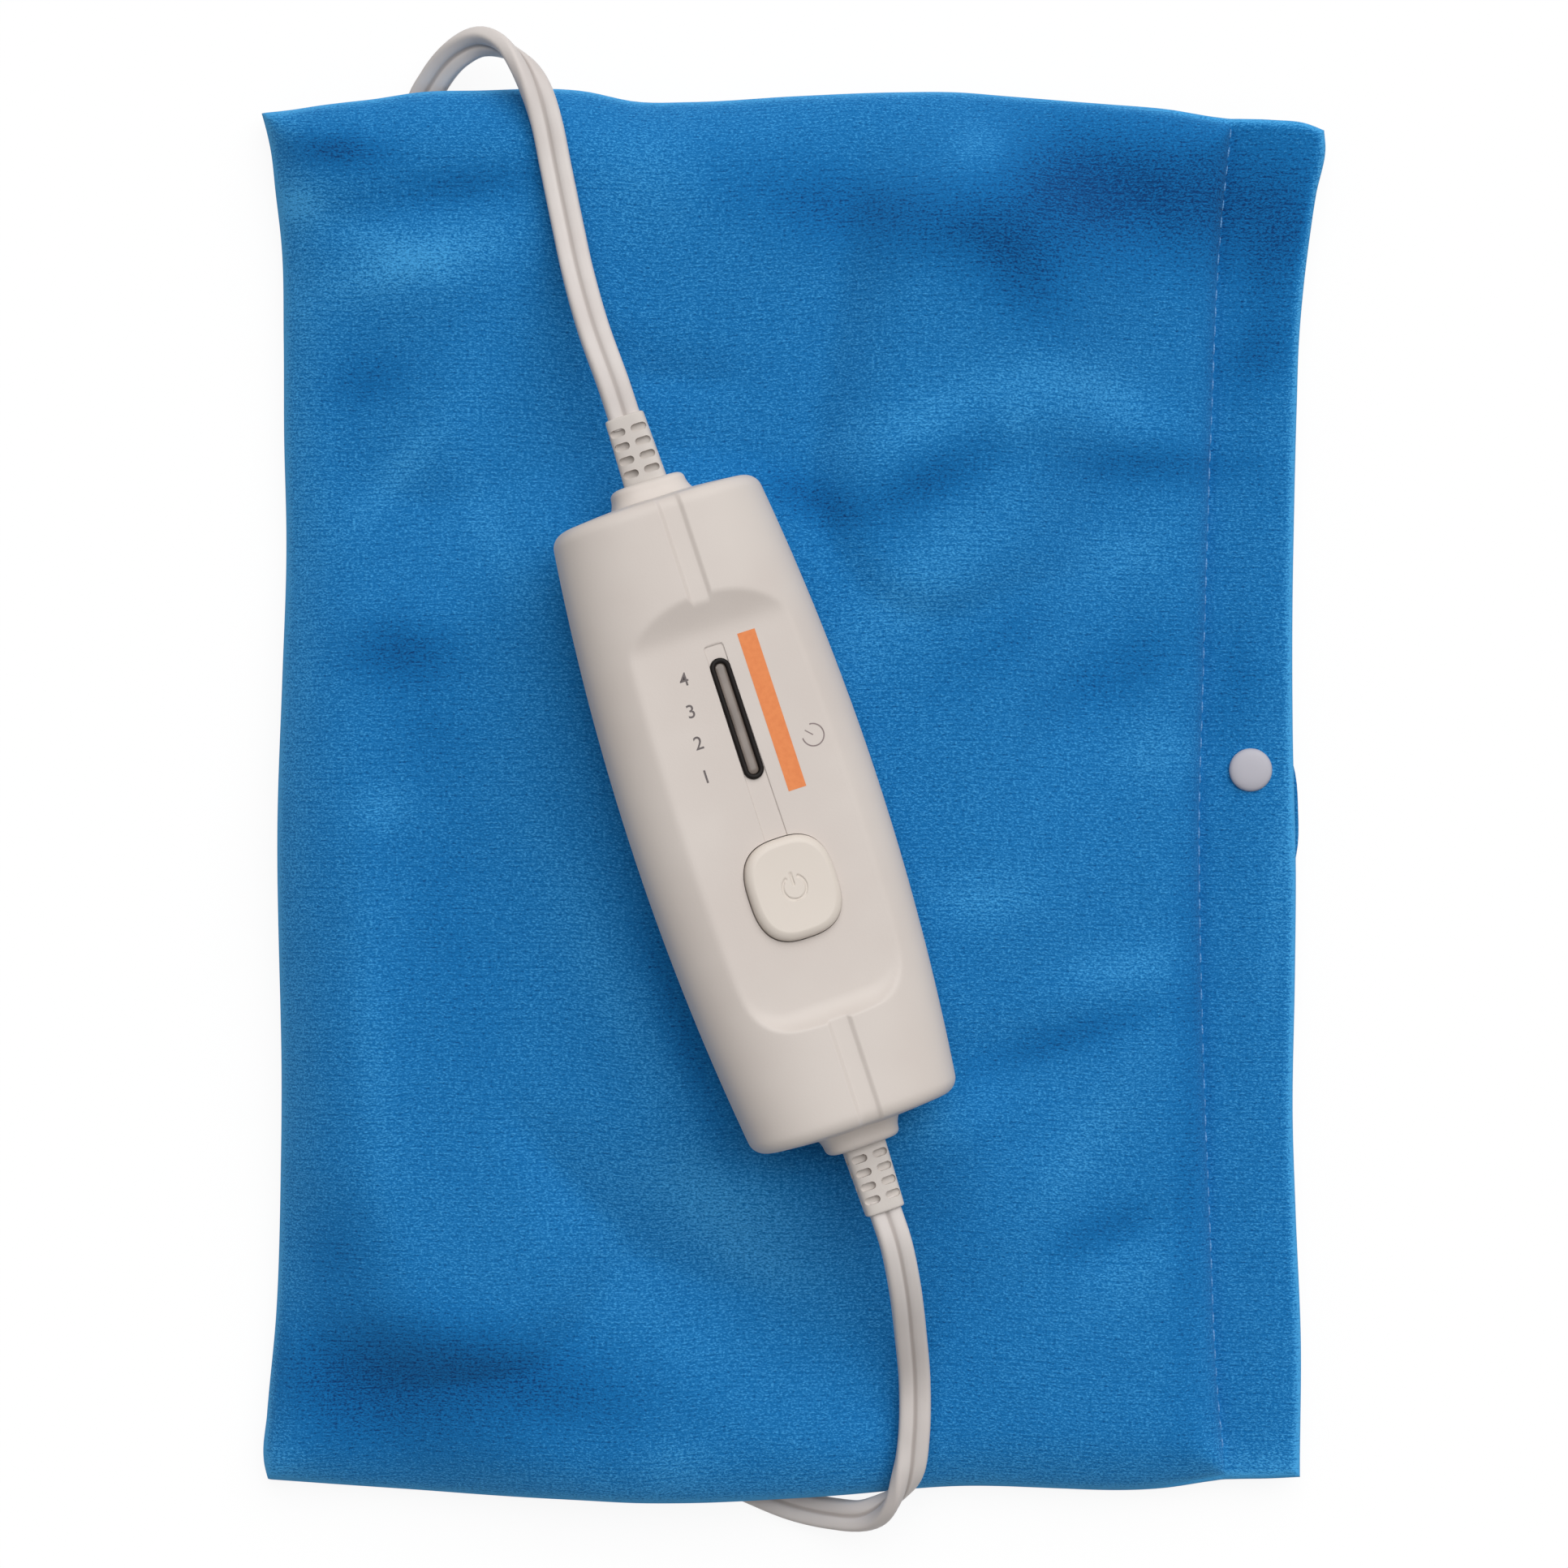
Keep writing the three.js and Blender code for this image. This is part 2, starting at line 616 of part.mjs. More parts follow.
// A section carried along points, with one face's normal given at each point.
function sweep(points, normals, section) {
  const rings = points.map((point, i) => {
    const before = points[Math.max(i - 1, 0)];
    const after = points[Math.min(i + 1, points.length - 1)];
    const along = after.clone().sub(before).normalize();
    const normal = normals[i].clone().addScaledVector(along, -normals[i].dot(along)).normalize();
    const side = along.clone().cross(normal);
    return section.map(([a, b]) => {
      return point.clone().addScaledVector(side, a).addScaledVector(normal, b).toArray();
    });
  });
  return loft(rings);
}

const UP = new THREE.Vector3(0, 0, 1);
const wire = wirePath();
const wireSection = Array.from({ length: WIRE_SIDES }, (_, i) => {
  const angle = (i / WIRE_SIDES) * 2 * Math.PI;
  return [(WIRE_DIAMETER / 2) * Math.cos(angle), (WIRE_DIAMETER / 2) * Math.sin(angle)];
});
addMesh(pad, "heating_wire", sweep(wire, wire.map(() => UP), wireSection), WIRE_RED);

THERMOSTAT_FROM_FOOT.forEach((distance, i) => {
  const y = distance - COVER_HALF_LENGTH;
  const z = WIRE_Z + (WIRE_ROOM - THERMOSTAT_THICK) / 2;
  const shape = stadium(THERMOSTAT_WIDTH, THERMOSTAT_LENGTH, y, z, z + THERMOSTAT_THICK);
  shape.translate(STITCH_X - THERMOSTAT_FROM_STITCH, 0, 0);
  addMesh(pad, `thermostat_${i + 1}`, shape, BLACK);
});

// Hems: the doubled strips beyond the stitching, with holes for the press stud.
function hem(z0, z1) {
  const shape = new THREE.Shape();
  const left = STITCH_X + GAP / 2;
  const turns = Array.from({ length: HEM_STEPS + 1 }, (_, i) => (2 * i) / HEM_STEPS - 1);
  shape.moveTo(left, -endY(left));
  for (const t of turns) {
    const x = sideX(t);
    shape.lineTo(x, t * endY(x));
  }
  shape.lineTo(left, endY(left));
  const slab = new THREE.ExtrudeGeometry(shape, { depth: z1 - z0, bevelEnabled: false });
  return solid(slab.translate(0, 0, z0));
}

const postHole = (z0, z1) => solid(post(SNAP_POST_RADIUS + GAP, SNAP_X, SNAP_Y, z0, z1));
const frontHem = hem(LIP_Z, LIP_Z + HEM_CLOTH).subtract(postHole(LIP_Z - 1, LIP_Z + HEM_CLOTH + 1));
const capPocket = post(SNAP_BACK_RADIUS + GAP, SNAP_X, SNAP_Y, -1, SNAP_BACK_THICK + GAP, 18);
const rearHem = hem(0, HEM_CLOTH).subtract(postHole(-1, HEM_CLOTH + 1)).subtract(solid(capPocket));
addMesh(pad, "front_hem", geometryOf(frontHem), BLUE_CLOTH);
addMesh(pad, "rear_hem", geometryOf(rearHem), BLUE_CLOTH);

// A turned piece: rings of the given radii and heights about an upright axis.
function turned(profile, x, y, sides = 18) {
  return loft(profile.map(([r, z]) => {
    return Array.from({ length: sides }, (_, i) => {
      const angle = (i / sides) * 2 * Math.PI;
      return [x + r * Math.cos(angle), y + r * Math.sin(angle), z];
    });
  }));
}

const capZ = LIP_Z + HEM_CLOTH + GAP;
const snapCap = turned([
  [SNAP_POST_RADIUS, LIP_Z + GAP], [SNAP_POST_RADIUS, capZ], [SNAP_CAP_RADIUS, capZ],
  [SNAP_CAP_RADIUS, capZ + SNAP_RIM],
  ...SNAP_DOME.map(([wide, high]) => [wide * SNAP_CAP_RADIUS, capZ + high * SNAP_CAP_HEIGHT]),
], SNAP_X, SNAP_Y);
addMesh(pad, "snap_cap", snapCap, SNAP_WHITE);

const studBase = HEM_CLOTH + GAP;
const studTop = studBase + SNAP_BASE_THICK + SNAP_STUD_HEIGHT;
const socketFoot = studBase + SNAP_BASE_THICK + GAP;
const socketTop = LIP_Z - GAP;
const socketBody = solid(post(SNAP_BACK_RADIUS, SNAP_X, SNAP_Y, socketFoot, socketTop, 18));
const socketBore = solid(post(
  SNAP_SOCKET_BORE, SNAP_X, SNAP_Y, socketFoot - 1, socketTop - SNAP_SOCKET_ROOF, 18,
));
addMesh(pad, "snap_socket", geometryOf(socketBody.subtract(socketBore)), SNAP_WHITE);
addMesh(pad, "snap_stud", turned([
  [SNAP_BACK_RADIUS, studBase], [SNAP_BACK_RADIUS, studBase + SNAP_BASE_THICK],
  [SNAP_STUD_RADIUS, studBase + SNAP_BASE_THICK], [SNAP_STUD_RADIUS, studTop],
], SNAP_X, SNAP_Y), SNAP_WHITE);
addMesh(pad, "snap_stud_cap", turned([
  [SNAP_BACK_RADIUS, 0], [SNAP_BACK_RADIUS, SNAP_BACK_THICK],
  [SNAP_POST_RADIUS, SNAP_BACK_THICK], [SNAP_POST_RADIUS, HEM_CLOTH],
], SNAP_X, SNAP_Y), SNAP_WHITE);

// Inlet where the pad's lead goes into the pad.
const inletBlock = solid(box(
  INLET_X - INLET_WIDTH / 2, INLET_X + INLET_WIDTH / 2,
  INLET_Y - INLET_LENGTH / 2, INLET_Y + INLET_LENGTH / 2, CORD_FLOOR_Z - CORD_THICK / 2, INLET_HEIGHT,
));
const inletPost = solid(post(
  INLET_POST_RADIUS, INLET_X, INLET_Y, INLET_HEIGHT / 2, LIFT_FLAT_CORD + COVER_CLOTH,
));
addMesh(pad, "pad_inlet", geometryOf(inletBlock.add(inletPost)), CORD_GREY);

// Hand control: sections across its long axis, rounded off at both ends.
const control = new THREE.Group();

function bodySection(y, half, endRound, grow, top, bottom, sides) {
  const q = Math.max(Math.abs(y) - (half - endRound), 0) / endRound;
  const inset = endRound * (1 - Math.sqrt(Math.max(1 - q * q, 0)));
  const swell = 1 - (y / BODY_HALF) ** 2;
  const wide = BODY_WIDTH_END / 2 + ((BODY_WIDTH_MID - BODY_WIDTH_END) / 2) * swell + grow - inset;
  return Array.from({ length: sides }, (_, i) => {
    const [a, b] = superellipse((i / sides) * 2 * Math.PI, BODY_SQUARENESS);
    return [wide * a, y, (b > 0 ? top - inset : bottom - inset) * b];
  });
}

function bodyLoft(grow, top, bottom, sides, endSteps, midSteps, bulge) {
  const half = BODY_HALF + grow;
  const endRound = BODY_END_ROUND;
  const end = Array.from({ length: endSteps }, (_, i) => {
    const angle = (Math.PI / 2) * (1 - i / endSteps);
    return half - endRound + endRound * Math.sin(angle);
  });
  const straight = half - endRound;
  const middle = Array.from({ length: midSteps + 1 }, (_, i) => straight - (2 * straight * i) / midSteps);
  const stations = [...end, ...middle, ...end.map((y) => -y).reverse()];
  return loft(stations.map((y) => bodySection(y, half, endRound, grow, top, bottom, sides)), bulge);
}

function collar(sign) {
  const stations = [
    [-BODY_WALL, COLLAR_FLARE + COLLAR_EDGE], [0, COLLAR_FLARE], [COLLAR_LENGTH / 2, COLLAR_FLARE / 3],
    [COLLAR_LENGTH - COLLAR_EDGE, 0], [COLLAR_LENGTH, -COLLAR_EDGE],
  ];
  return loft(stations.map(([out, grow]) => Array.from({ length: COLLAR_SIDES }, (_, i) => {
    const [a, b] = superellipse((i / COLLAR_SIDES) * 2 * Math.PI, BODY_SQUARENESS);
    return [(COLLAR_WIDTH / 2 + grow) * a, sign * (BODY_HALF + out), (COLLAR_HEIGHT / 2 + grow / 2) * b];
  })));
}

const outer = solid(bodyLoft(0, BODY_TOP, BODY_BOTTOM, BODY_SIDES, 3, 8, BODY_END_BULGE))
  .add(solid(collar(1))).add(solid(collar(-1)));
const cavity = solid(bodyLoft(-BODY_WALL, CAVITY_TOP, BODY_BOTTOM - BODY_WALL, CAVITY_SIDES, 1, 4, 0));
const reach = RELIEF_END;
const reliefHole = solid(box(
  -RELIEF_WIDTH / 2 - GAP, RELIEF_WIDTH / 2 + GAP, -reach, reach,
  -RELIEF_HEIGHT / 2 - GAP, RELIEF_HEIGHT / 2 + GAP,
));
const above = solid(box(-reach, reach, -reach, reach, GAP / 2, reach));
const below = solid(box(-reach, reach, -reach, reach, -reach, -GAP / 2));
const screwPlaces = [[-1, 1], [1, 1], [-1, -1], [1, -1]].map(([a, b]) => [a * SCREW_X, b * SCREW_Y]);
const boardPosts = [[-1, 1], [1, 1], [-1, -1], [1, -1]].map(([a, b]) => [a * BOARD_POST_X, b * BOARD_POST_Y]);

// Recess: a flat scoop across the arched top, with sloping end walls. Its outline is
// drawn in Y and Z, then turned so that it runs across X.
const ACROSS_X = new THREE.Matrix4().set(0, 0, 1, 0, 1, 0, 0, 0, 0, 1, 0, 0, 0, 0, 0, 1);

function recessSolid() {
  const half = RECESS_LENGTH / 2;
  const rise = reach - RECESS_FLOOR;
  const shape = new THREE.Shape([
    new THREE.Vector2(-half + RECESS_SLOPE_FOOT, RECESS_FLOOR),
    new THREE.Vector2(half - RECESS_SLOPE_TOP, RECESS_FLOOR),
    new THREE.Vector2(half - RECESS_SLOPE_TOP + (rise * RECESS_SLOPE_TOP) / RECESS_DEPTH, reach),
    new THREE.Vector2(-half + RECESS_SLOPE_FOOT - (rise * RECESS_SLOPE_FOOT) / RECESS_DEPTH, reach),
  ]);
  const cut = new THREE.ExtrudeGeometry(shape, { depth: 2 * reach, bevelEnabled: false });
  return cut.translate(0, 0, -reach).applyMatrix4(ACROSS_X);
}

const stripHalf = STRIP_WIDTH / 2;
const endStrip = (sign) => {
  const from = sign * (RECESS_LENGTH / 2 - RECESS_SLOPE_FOOT / 2);
  const to = sign * reach;
  const foot = BODY_TOP - STRIP_DEPTH;
  return solid(box(-stripHalf, stripHalf, Math.min(from, to), Math.max(from, to), foot, reach));
};
const floorStrip = solid(box(
  -stripHalf, stripHalf, BUTTON_Y, STRIP_TOP_Y, RECESS_FLOOR - STRIP_DEPTH, reach,
));
function buttonWell(grow, z0, z1) {
  return solid(loft([z0, z1].map((z) => upright(
    BUTTON_WIDTH / 2 + grow, BUTTON_LENGTH / 2 + grow, BUTTON_SQUARENESS, BUTTON_Y, z, BUTTON_SIDES,
  ))));
}
const buttonHole = buttonWell(BUTTON_CLEARANCE, 0, reach).add(
  buttonWell(BUTTON_FLANGE + BUTTON_CLEARANCE, 0, CAVITY_TOP),
);
const windowHole = solid(stadium(
  WINDOW_WIDTH + 2 * GAP, WINDOW_LENGTH + 2 * GAP, WINDOW_Y, CAVITY_TOP - 1, reach,
));

let topShell = outer.subtract(cavity);
let bottomShell = outer.subtract(cavity);
for (const [x, y] of screwPlaces) {
  topShell = topShell.add(solid(post(SCREW_BOSS_RADIUS, x, y, 0, CAVITY_TOP)).intersect(outer));
  topShell = topShell.subtract(solid(post(SCREW_SHANK_RADIUS + GAP, x, y, -1, SCREW_TIP_Z + 1, 12)));
  bottomShell = bottomShell.add(solid(post(SCREW_BOSS_RADIUS, x, y, -BODY_BOTTOM, 0)).intersect(outer));
  bottomShell = bottomShell.subtract(solid(post(SCREW_SHANK_RADIUS + GAP, x, y, -BODY_BOTTOM, 1, 12)));
  const headHole = post(SCREW_HEAD_RADIUS + GAP, x, y, -2 * BODY_BOTTOM, SCREW_SEAT_Z);
  bottomShell = bottomShell.subtract(solid(headHole));
}
for (const [x, y] of boardPosts) {
  const top = BOARD_TOP - BOARD_THICK - GAP;
  bottomShell = bottomShell.add(solid(post(BOARD_POST_RADIUS, x, y, -BODY_BOTTOM, top, 12)).intersect(outer));
}
topShell = topShell.intersect(above).subtract(reliefHole).subtract(solid(recessSolid()))
  .subtract(endStrip(1)).subtract(endStrip(-1)).subtract(floorStrip).subtract(buttonHole).subtract(windowHole);
bottomShell = bottomShell.intersect(below).subtract(reliefHole);
addMesh(control, "top_shell", geometryOf(topShell), IVORY);
addMesh(control, "bottom_shell", geometryOf(bottomShell), IVORY);

screwPlaces.forEach(([x, y], i) => {
  const head = SCREW_SEAT_Z - GAP;
  addMesh(control, `case_screw_${i + 1}`, turned([
    [SCREW_HEAD_RADIUS, head - SCREW_HEAD_HEIGHT], [SCREW_HEAD_RADIUS, head],
    [SCREW_SHANK_RADIUS, head], [SCREW_SHANK_RADIUS, SCREW_TIP_Z],
  ], x, y, 12), TIN);
});

// Power button with its flange and stem, over the switch's plunger.
function buttonSolid() {
  const top = RECESS_FLOOR + BUTTON_PROUD;
  const flangeTop = CAVITY_TOP - GAP;
  const ring = (grow, z) => upright(
    BUTTON_WIDTH / 2 + grow, BUTTON_LENGTH / 2 + grow, BUTTON_SQUARENESS, BUTTON_Y, z, BUTTON_SIDES,
  );
  const round = BUTTON_EDGE_ROUND;
  const cap = loft([
    ring(BUTTON_FLANGE, flangeTop - BUTTON_FLANGE), ring(BUTTON_FLANGE, flangeTop), ring(0, flangeTop),
    ring(0, top - round), ring(-0.3 * round, top - 0.3 * round), ring(-round, top),
    ring(-2 * round, top - BUTTON_DISH), ring(-0.4 * BUTTON_WIDTH, top - BUTTON_DISH),
  ]);
  const stem = post(BUTTON_STEM_RADIUS, 0, BUTTON_Y, PLUNGER_TOP + GAP, flangeTop);
  return geometryOf(solid(cap).add(solid(stem)));
}
addMesh(control, "power_button", buttonSolid(), BUTTON_IVORY);

// Light window: black rim, smoked lens, and the guide that carries the lamps' light to it.
const rimTop = RECESS_FLOOR + WINDOW_PROUD;
const rimFoot = rimTop - WINDOW_DEPTH;
const lensWidth = WINDOW_WIDTH - 2 * WINDOW_RIM - 2 * GAP;
const lensLength = WINDOW_LENGTH - 2 * WINDOW_RIM - 2 * GAP;
const rimOuter = solid(stadium(WINDOW_WIDTH, WINDOW_LENGTH, WINDOW_Y, rimFoot, rimTop));
const rimInner = solid(stadium(
  WINDOW_WIDTH - 2 * WINDOW_RIM, WINDOW_LENGTH - 2 * WINDOW_RIM, WINDOW_Y, rimFoot - 1, rimTop + 1,
));
addMesh(control, "window_rim", geometryOf(rimOuter.subtract(rimInner)), BLACK);
addMesh(control, "window_lens", stadium(lensWidth, lensLength, WINDOW_Y, rimFoot, rimTop - LENS_SUNK), SMOKE);
const guideFoot = BOARD_SEAT + LED_HEIGHT + GAP;
addMesh(control, "light_guide", stadium(LED_WIDTH + 1, lensLength, WINDOW_Y, guideFoot, rimFoot - GAP), MILKY);

// Circuit board and what is soldered to it.
addMesh(control, "circuit_board", box(
  -BOARD_WIDTH / 2, BOARD_WIDTH / 2, -BOARD_LENGTH / 2, BOARD_LENGTH / 2, BOARD_TOP - BOARD_THICK, BOARD_TOP,
), BOARD_GREEN);

function onBoard([wide, deep, high], [x, y]) {
  return box(x - wide / 2, x + wide / 2, y - deep / 2, y + deep / 2, BOARD_SEAT, BOARD_SEAT + high);
}

for (let i = 0; i < LED_COUNT; i++) {
  const y = WINDOW_Y + (i - (LED_COUNT - 1) / 2) * LED_PITCH;
  addMesh(control, `led_${i + 1}`, onBoard([LED_WIDTH, 1.2 * LED_WIDTH, LED_HEIGHT], [0, y]), MILKY);
}
const switchBody = solid(onBoard([SWITCH_SIZE, SWITCH_SIZE, SWITCH_HEIGHT], [0, BUTTON_Y]));
const plungerFoot = PLUNGER_TOP - PLUNGER_LENGTH;
const plungerHole = solid(post(
  PLUNGER_RADIUS + GAP, 0, BUTTON_Y, plungerFoot - BUTTON_TRAVEL - GAP, BOARD_SEAT + SWITCH_HEIGHT + 1, 12,
));
addMesh(control, "tact_switch", geometryOf(switchBody.subtract(plungerHole)), BLACK);
addMesh(control, "tact_plunger", post(PLUNGER_RADIUS, 0, BUTTON_Y, plungerFoot, PLUNGER_TOP, 12), MILKY);
addMesh(control, "control_chip", onBoard(CHIP_SIZE, CHIP_AT), BLACK);
addMesh(control, "triac", onBoard(TRIAC_SIZE, TRIAC_AT), BLACK);
addMesh(control, "capacitor", onBoard(CAPACITOR_SIZE, CAPACITOR_AT), WIRE_RED);
const fuse = new THREE.CylinderGeometry(FUSE_RADIUS, FUSE_RADIUS, FUSE_LENGTH, 12);
const tailEnd = BODY_HALF - BODY_WALL - RELIEF_FLANGE - 2 * GAP;
const fuseY = tailEnd - TAIL_LENGTH - GAP - FUSE_LENGTH / 2;
addMesh(control, "fuse", fuse.translate(FUSE_X, fuseY, BOARD_SEAT + FUSE_RADIUS), SMOKE);

// Strain reliefs: a flange inside the shells, a neck through the collar, and a ribbed sleeve.
function reliefSolid() {
  const inner = BODY_HALF - BODY_WALL - GAP;
  const ring = (halfWidth, halfHeight, y) => Array.from({ length: RELIEF_SIDES }, (_, i) => {
    const [a, b] = superellipse((i / RELIEF_SIDES) * 2 * Math.PI, RELIEF_SQUARENESS);
    return [halfWidth * a, y, halfHeight * b];
  });
  const neck = [RELIEF_WIDTH / 2 - GAP, RELIEF_HEIGHT / 2 - GAP];
  const flange = neck.map((half) => half + RELIEF_FLANGE_LIP);
  const mouth = BODY_HALF + COLLAR_LENGTH + GAP;
  let shape = solid(loft([
    ring(...flange, inner - RELIEF_FLANGE), ring(...flange, inner), ring(...neck, inner), ring(...neck, mouth),
    ring(RELIEF_WIDTH / 2, RELIEF_HEIGHT / 2, mouth),
    ring(RELIEF_WIDTH / 2 - RELIEF_TAPER, RELIEF_HEIGHT / 2 - RELIEF_TAPER, RELIEF_END),
  ]));
  const core = RELIEF_HEIGHT / 2 - RELIEF_SLOT_DEPTH;
  for (let row = 0; row < RELIEF_ROWS; row++) {
    const y = mouth + RELIEF_SLOT + row * RELIEF_ROW_PITCH;
    for (const [a, b] of [[-1, -1], [-1, 1], [1, -1], [1, 1]]) {
      const x = [a * (RELIEF_SPINE / 2), a * RELIEF_WIDTH].sort((p, q) => p - q);
      const z = [b * core, b * RELIEF_HEIGHT].sort((p, q) => p - q);
      shape = shape.subtract(solid(box(x[0], x[1], y, y + RELIEF_SLOT, z[0], z[1])));
    }
  }
  return geometryOf(shape);
}

const tail = box(
  -CORD_WIDTH / 2, CORD_WIDTH / 2, tailEnd - TAIL_LENGTH, tailEnd, BOARD_SEAT, BOARD_SEAT + CORD_THICK,
);
const relief = reliefSolid();
for (const [side, facing] of [["pad", 0], ["mains", Math.PI]]) {
  addMesh(control, `relief_${side}`, relief, CORD_GREY).rotation.z = facing;
  addMesh(control, `lead_tail_${side}`, tail, CORD_GREY).rotation.z = facing;
}

// The control lies on the pad, turned and rolled a little, just clear of the cloth.
const roll = THREE.MathUtils.degToRad(CONTROL_ROLL_DEG);
const turn = THREE.MathUtils.degToRad(CONTROL_TURN_DEG);
control.rotation.set(0, roll, turn, "ZYX");
control.position.set(CONTROL_X, CONTROL_Y, 0);
control.updateMatrixWorld(true);
const lowest = new THREE.Box3().setFromObject(control.getObjectByName("bottom_shell"), true).min.z;
control.position.z = LIFT_COIL + PAD_THICK + GAP - lowest;
control.updateMatrixWorld(true);
assembly.add(control);

// Cords: a flat section with rounded edges, carried along a smooth route.
const halfWidth = CORD_WIDTH / 2;
const halfThick = CORD_THICK / 2;
const flatWidth = CORD_FLAT_SHARE * halfWidth;
const edgeThick = CORD_EDGE_SHARE * halfThick;
const coilFlat = COIL_FLAT_SHARE * halfWidth;
const cordSection = [
  [halfWidth, -edgeThick], [halfWidth, edgeThick], [flatWidth, halfThick], [-flatWidth, halfThick],
  [-halfWidth, edgeThick], [-halfWidth, -edgeThick], [-flatWidth, -halfThick], [flatWidth, -halfThick],
];
const coilSection = [
  [halfWidth, 0], [coilFlat, halfThick], [-coilFlat, halfThick],
  [-halfWidth, 0], [-coilFlat, -halfThick], [coilFlat, -halfThick],
];

// Normals of the cord's flat face, carried along a route. Where the cord runs level it
// settles flat, and a given twist then turns it about its own route.
function carried(points, start, twist) {
  let normal = start.clone();
  return points.map((point, i) => {
    const before = points[Math.max(i - 1, 0)];
    const after = points[Math.min(i + 1, points.length - 1)];
    const along = after.clone().sub(before).normalize();
    normal.addScaledVector(along, -normal.dot(along)).normalize();
    const settle = i && Math.abs(along.z) < CORD_LEVEL_SLOPE ? CORD_SETTLE : 0;
    normal.lerp(UP.clone().multiplyScalar(Math.sign(normal.z)), settle);
    normal.addScaledVector(along, -normal.dot(along)).normalize();
    return normal.clone().applyAxisAngle(along, twist(i / (points.length - 1)));
  });
}

function route(points, steps) {
  const curve = new THREE.CatmullRomCurve3(points.map((p) => new THREE.Vector3(...p)), false, "centripetal");
  const spaced = curve.getSpacedPoints(steps);
  for (const point of spaced) point.z = Math.max(point.z, CORD_FLOOR_Z);
  return spaced;
}

function controlPoint(y) {
  return new THREE.Vector3(0, y, 0).applyMatrix4(control.matrixWorld).toArray();
}

const controlUp = new THREE.Vector3(0, 0, 1).transformDirection(control.matrixWorld);
const ease = (q) => 0.5 - 0.5 * Math.cos(Math.PI * Math.min(Math.max(q, 0), 1));

function turning(...twists) {
  const angle = (q, { from, over, turns }) => 2 * Math.PI * turns * ease((q - from) / over);
  return (q) => twists.reduce((sum, twist) => sum + angle(q, twist), 0);
}

const padLead = route([
  controlPoint(RELIEF_END + GAP), controlPoint(RELIEF_END + GAP + CORD_WIDTH), ...PAD_LEAD_OVER,
  ...onFloor(PAD_LEAD_UNDER), [INLET_X, INLET_Y - INLET_LENGTH / 2 - CORD_WIDTH, CORD_FLOOR_Z],
  [INLET_X, INLET_Y - INLET_LENGTH / 2 - GAP, CORD_FLOOR_Z],
], PAD_LEAD_STEPS);
const padNormals = carried(padLead, controlUp, turning(PAD_LOOP));
addMesh(assembly, "pad_lead", sweep(padLead, padNormals, cordSection), CORD_GREY);

const mainsLead = route([
  controlPoint(-RELIEF_END - GAP), controlPoint(-RELIEF_END - GAP - CORD_WIDTH), ...MAINS_LEAD_OVER,
  ...onFloor(MAINS_LEAD_UNDER), ...coilApproach, [COIL_LEFT_X, COIL_Y - GAP, COIL_Z],
], MAINS_LEAD_STEPS);
const mainsNormals = carried(mainsLead, controlUp, turning(MAINS_LOOP, MAINS_TWIST));
addMesh(assembly, "mains_lead", sweep(mainsLead, mainsNormals, cordSection), CORD_GREY);

// Coil: one cord wound inwards and out again beside itself, standing on its edge.
function coilPath() {
  const steps = Math.round(COIL_STEPS_PER_TURN * COIL_TURNS);
  const sweepAngle = 2 * Math.PI * COIL_TURNS;
  const strand = Array.from({ length: steps + 1 }, (_, i) => {
    const angle = sweepAngle * (1 - i / steps);
    const radius = COIL_INNER_RADIUS + (COIL_STRAND_PITCH * angle) / Math.PI;
    return [radius * Math.cos(angle), radius * Math.sin(angle)];
  });
  const bend = COIL_INNER_RADIUS / 2;
  const bendSteps = COIL_STEPS_PER_TURN / 2;
  const half = Array.from({ length: bendSteps - 1 }, (_, i) => {
    const angle = (-Math.PI * (i + 1)) / bendSteps;
    return [bend + bend * Math.cos(angle), bend * Math.sin(angle)];
  });
  const inward = [...strand, ...half];
  const outwardHalf = inward.map(([x, y]) => [-x, -y]).reverse();
  return [...inward, [0, 0], ...outwardHalf].map(([x, y]) => new THREE.Vector3(COIL_X + x, COIL_Y + y, COIL_Z));
}

const coil = coilPath();
const coilNormals = coil.map((point, i) => {
  const along = coil[Math.min(i + 1, coil.length - 1)].clone().sub(coil[Math.max(i - 1, 0)]).normalize();
  return along.cross(UP);
});
addMesh(assembly, "mains_coil", sweep(coil, coilNormals, coilSection), CORD_GREY);

// Least gap between strands of the coil, measured on points that are not neighbours.
let leastGap = Infinity;
for (let i = 0; i < coil.length; i++) {
  for (let j = i + COIL_STEPS_PER_TURN / 2; j < coil.length; j++) {
    leastGap = Math.min(leastGap, coil[i].distanceTo(coil[j]) - CORD_THICK);
  }
}
console.log(`mains_coil least gap between strands: ${leastGap.toFixed(2)} mm`);

const tailStart = [COIL_RIGHT_X, COIL_Y + GAP, COIL_Z];
const plugEntry = [PLUG_X - GAP * plugDirection[0], PLUG_Y - GAP * plugDirection[1], PLUG_THICK / 2];
const beforePlug = [
  PLUG_X - CORD_WIDTH * plugDirection[0], PLUG_Y - CORD_WIDTH * plugDirection[1], PLUG_THICK / 2,
];
const mainsTail = route([
  tailStart, [COIL_RIGHT_X, COIL_Y + CORD_WIDTH, COIL_Z],
  ...COIL_LEAVE.map(([aside, after]) => [COIL_RIGHT_X + aside, COIL_Y + after, COIL_Z]), beforePlug, plugEntry,
], MAINS_TAIL_STEPS);
const sideways = new THREE.Vector3(1, 0, 0);
const tailNormals = carried(mainsTail, sideways, turning(TAIL_TWIST));
addMesh(assembly, "mains_tail", sweep(mainsTail, tailNormals, cordSection), CORD_GREY);

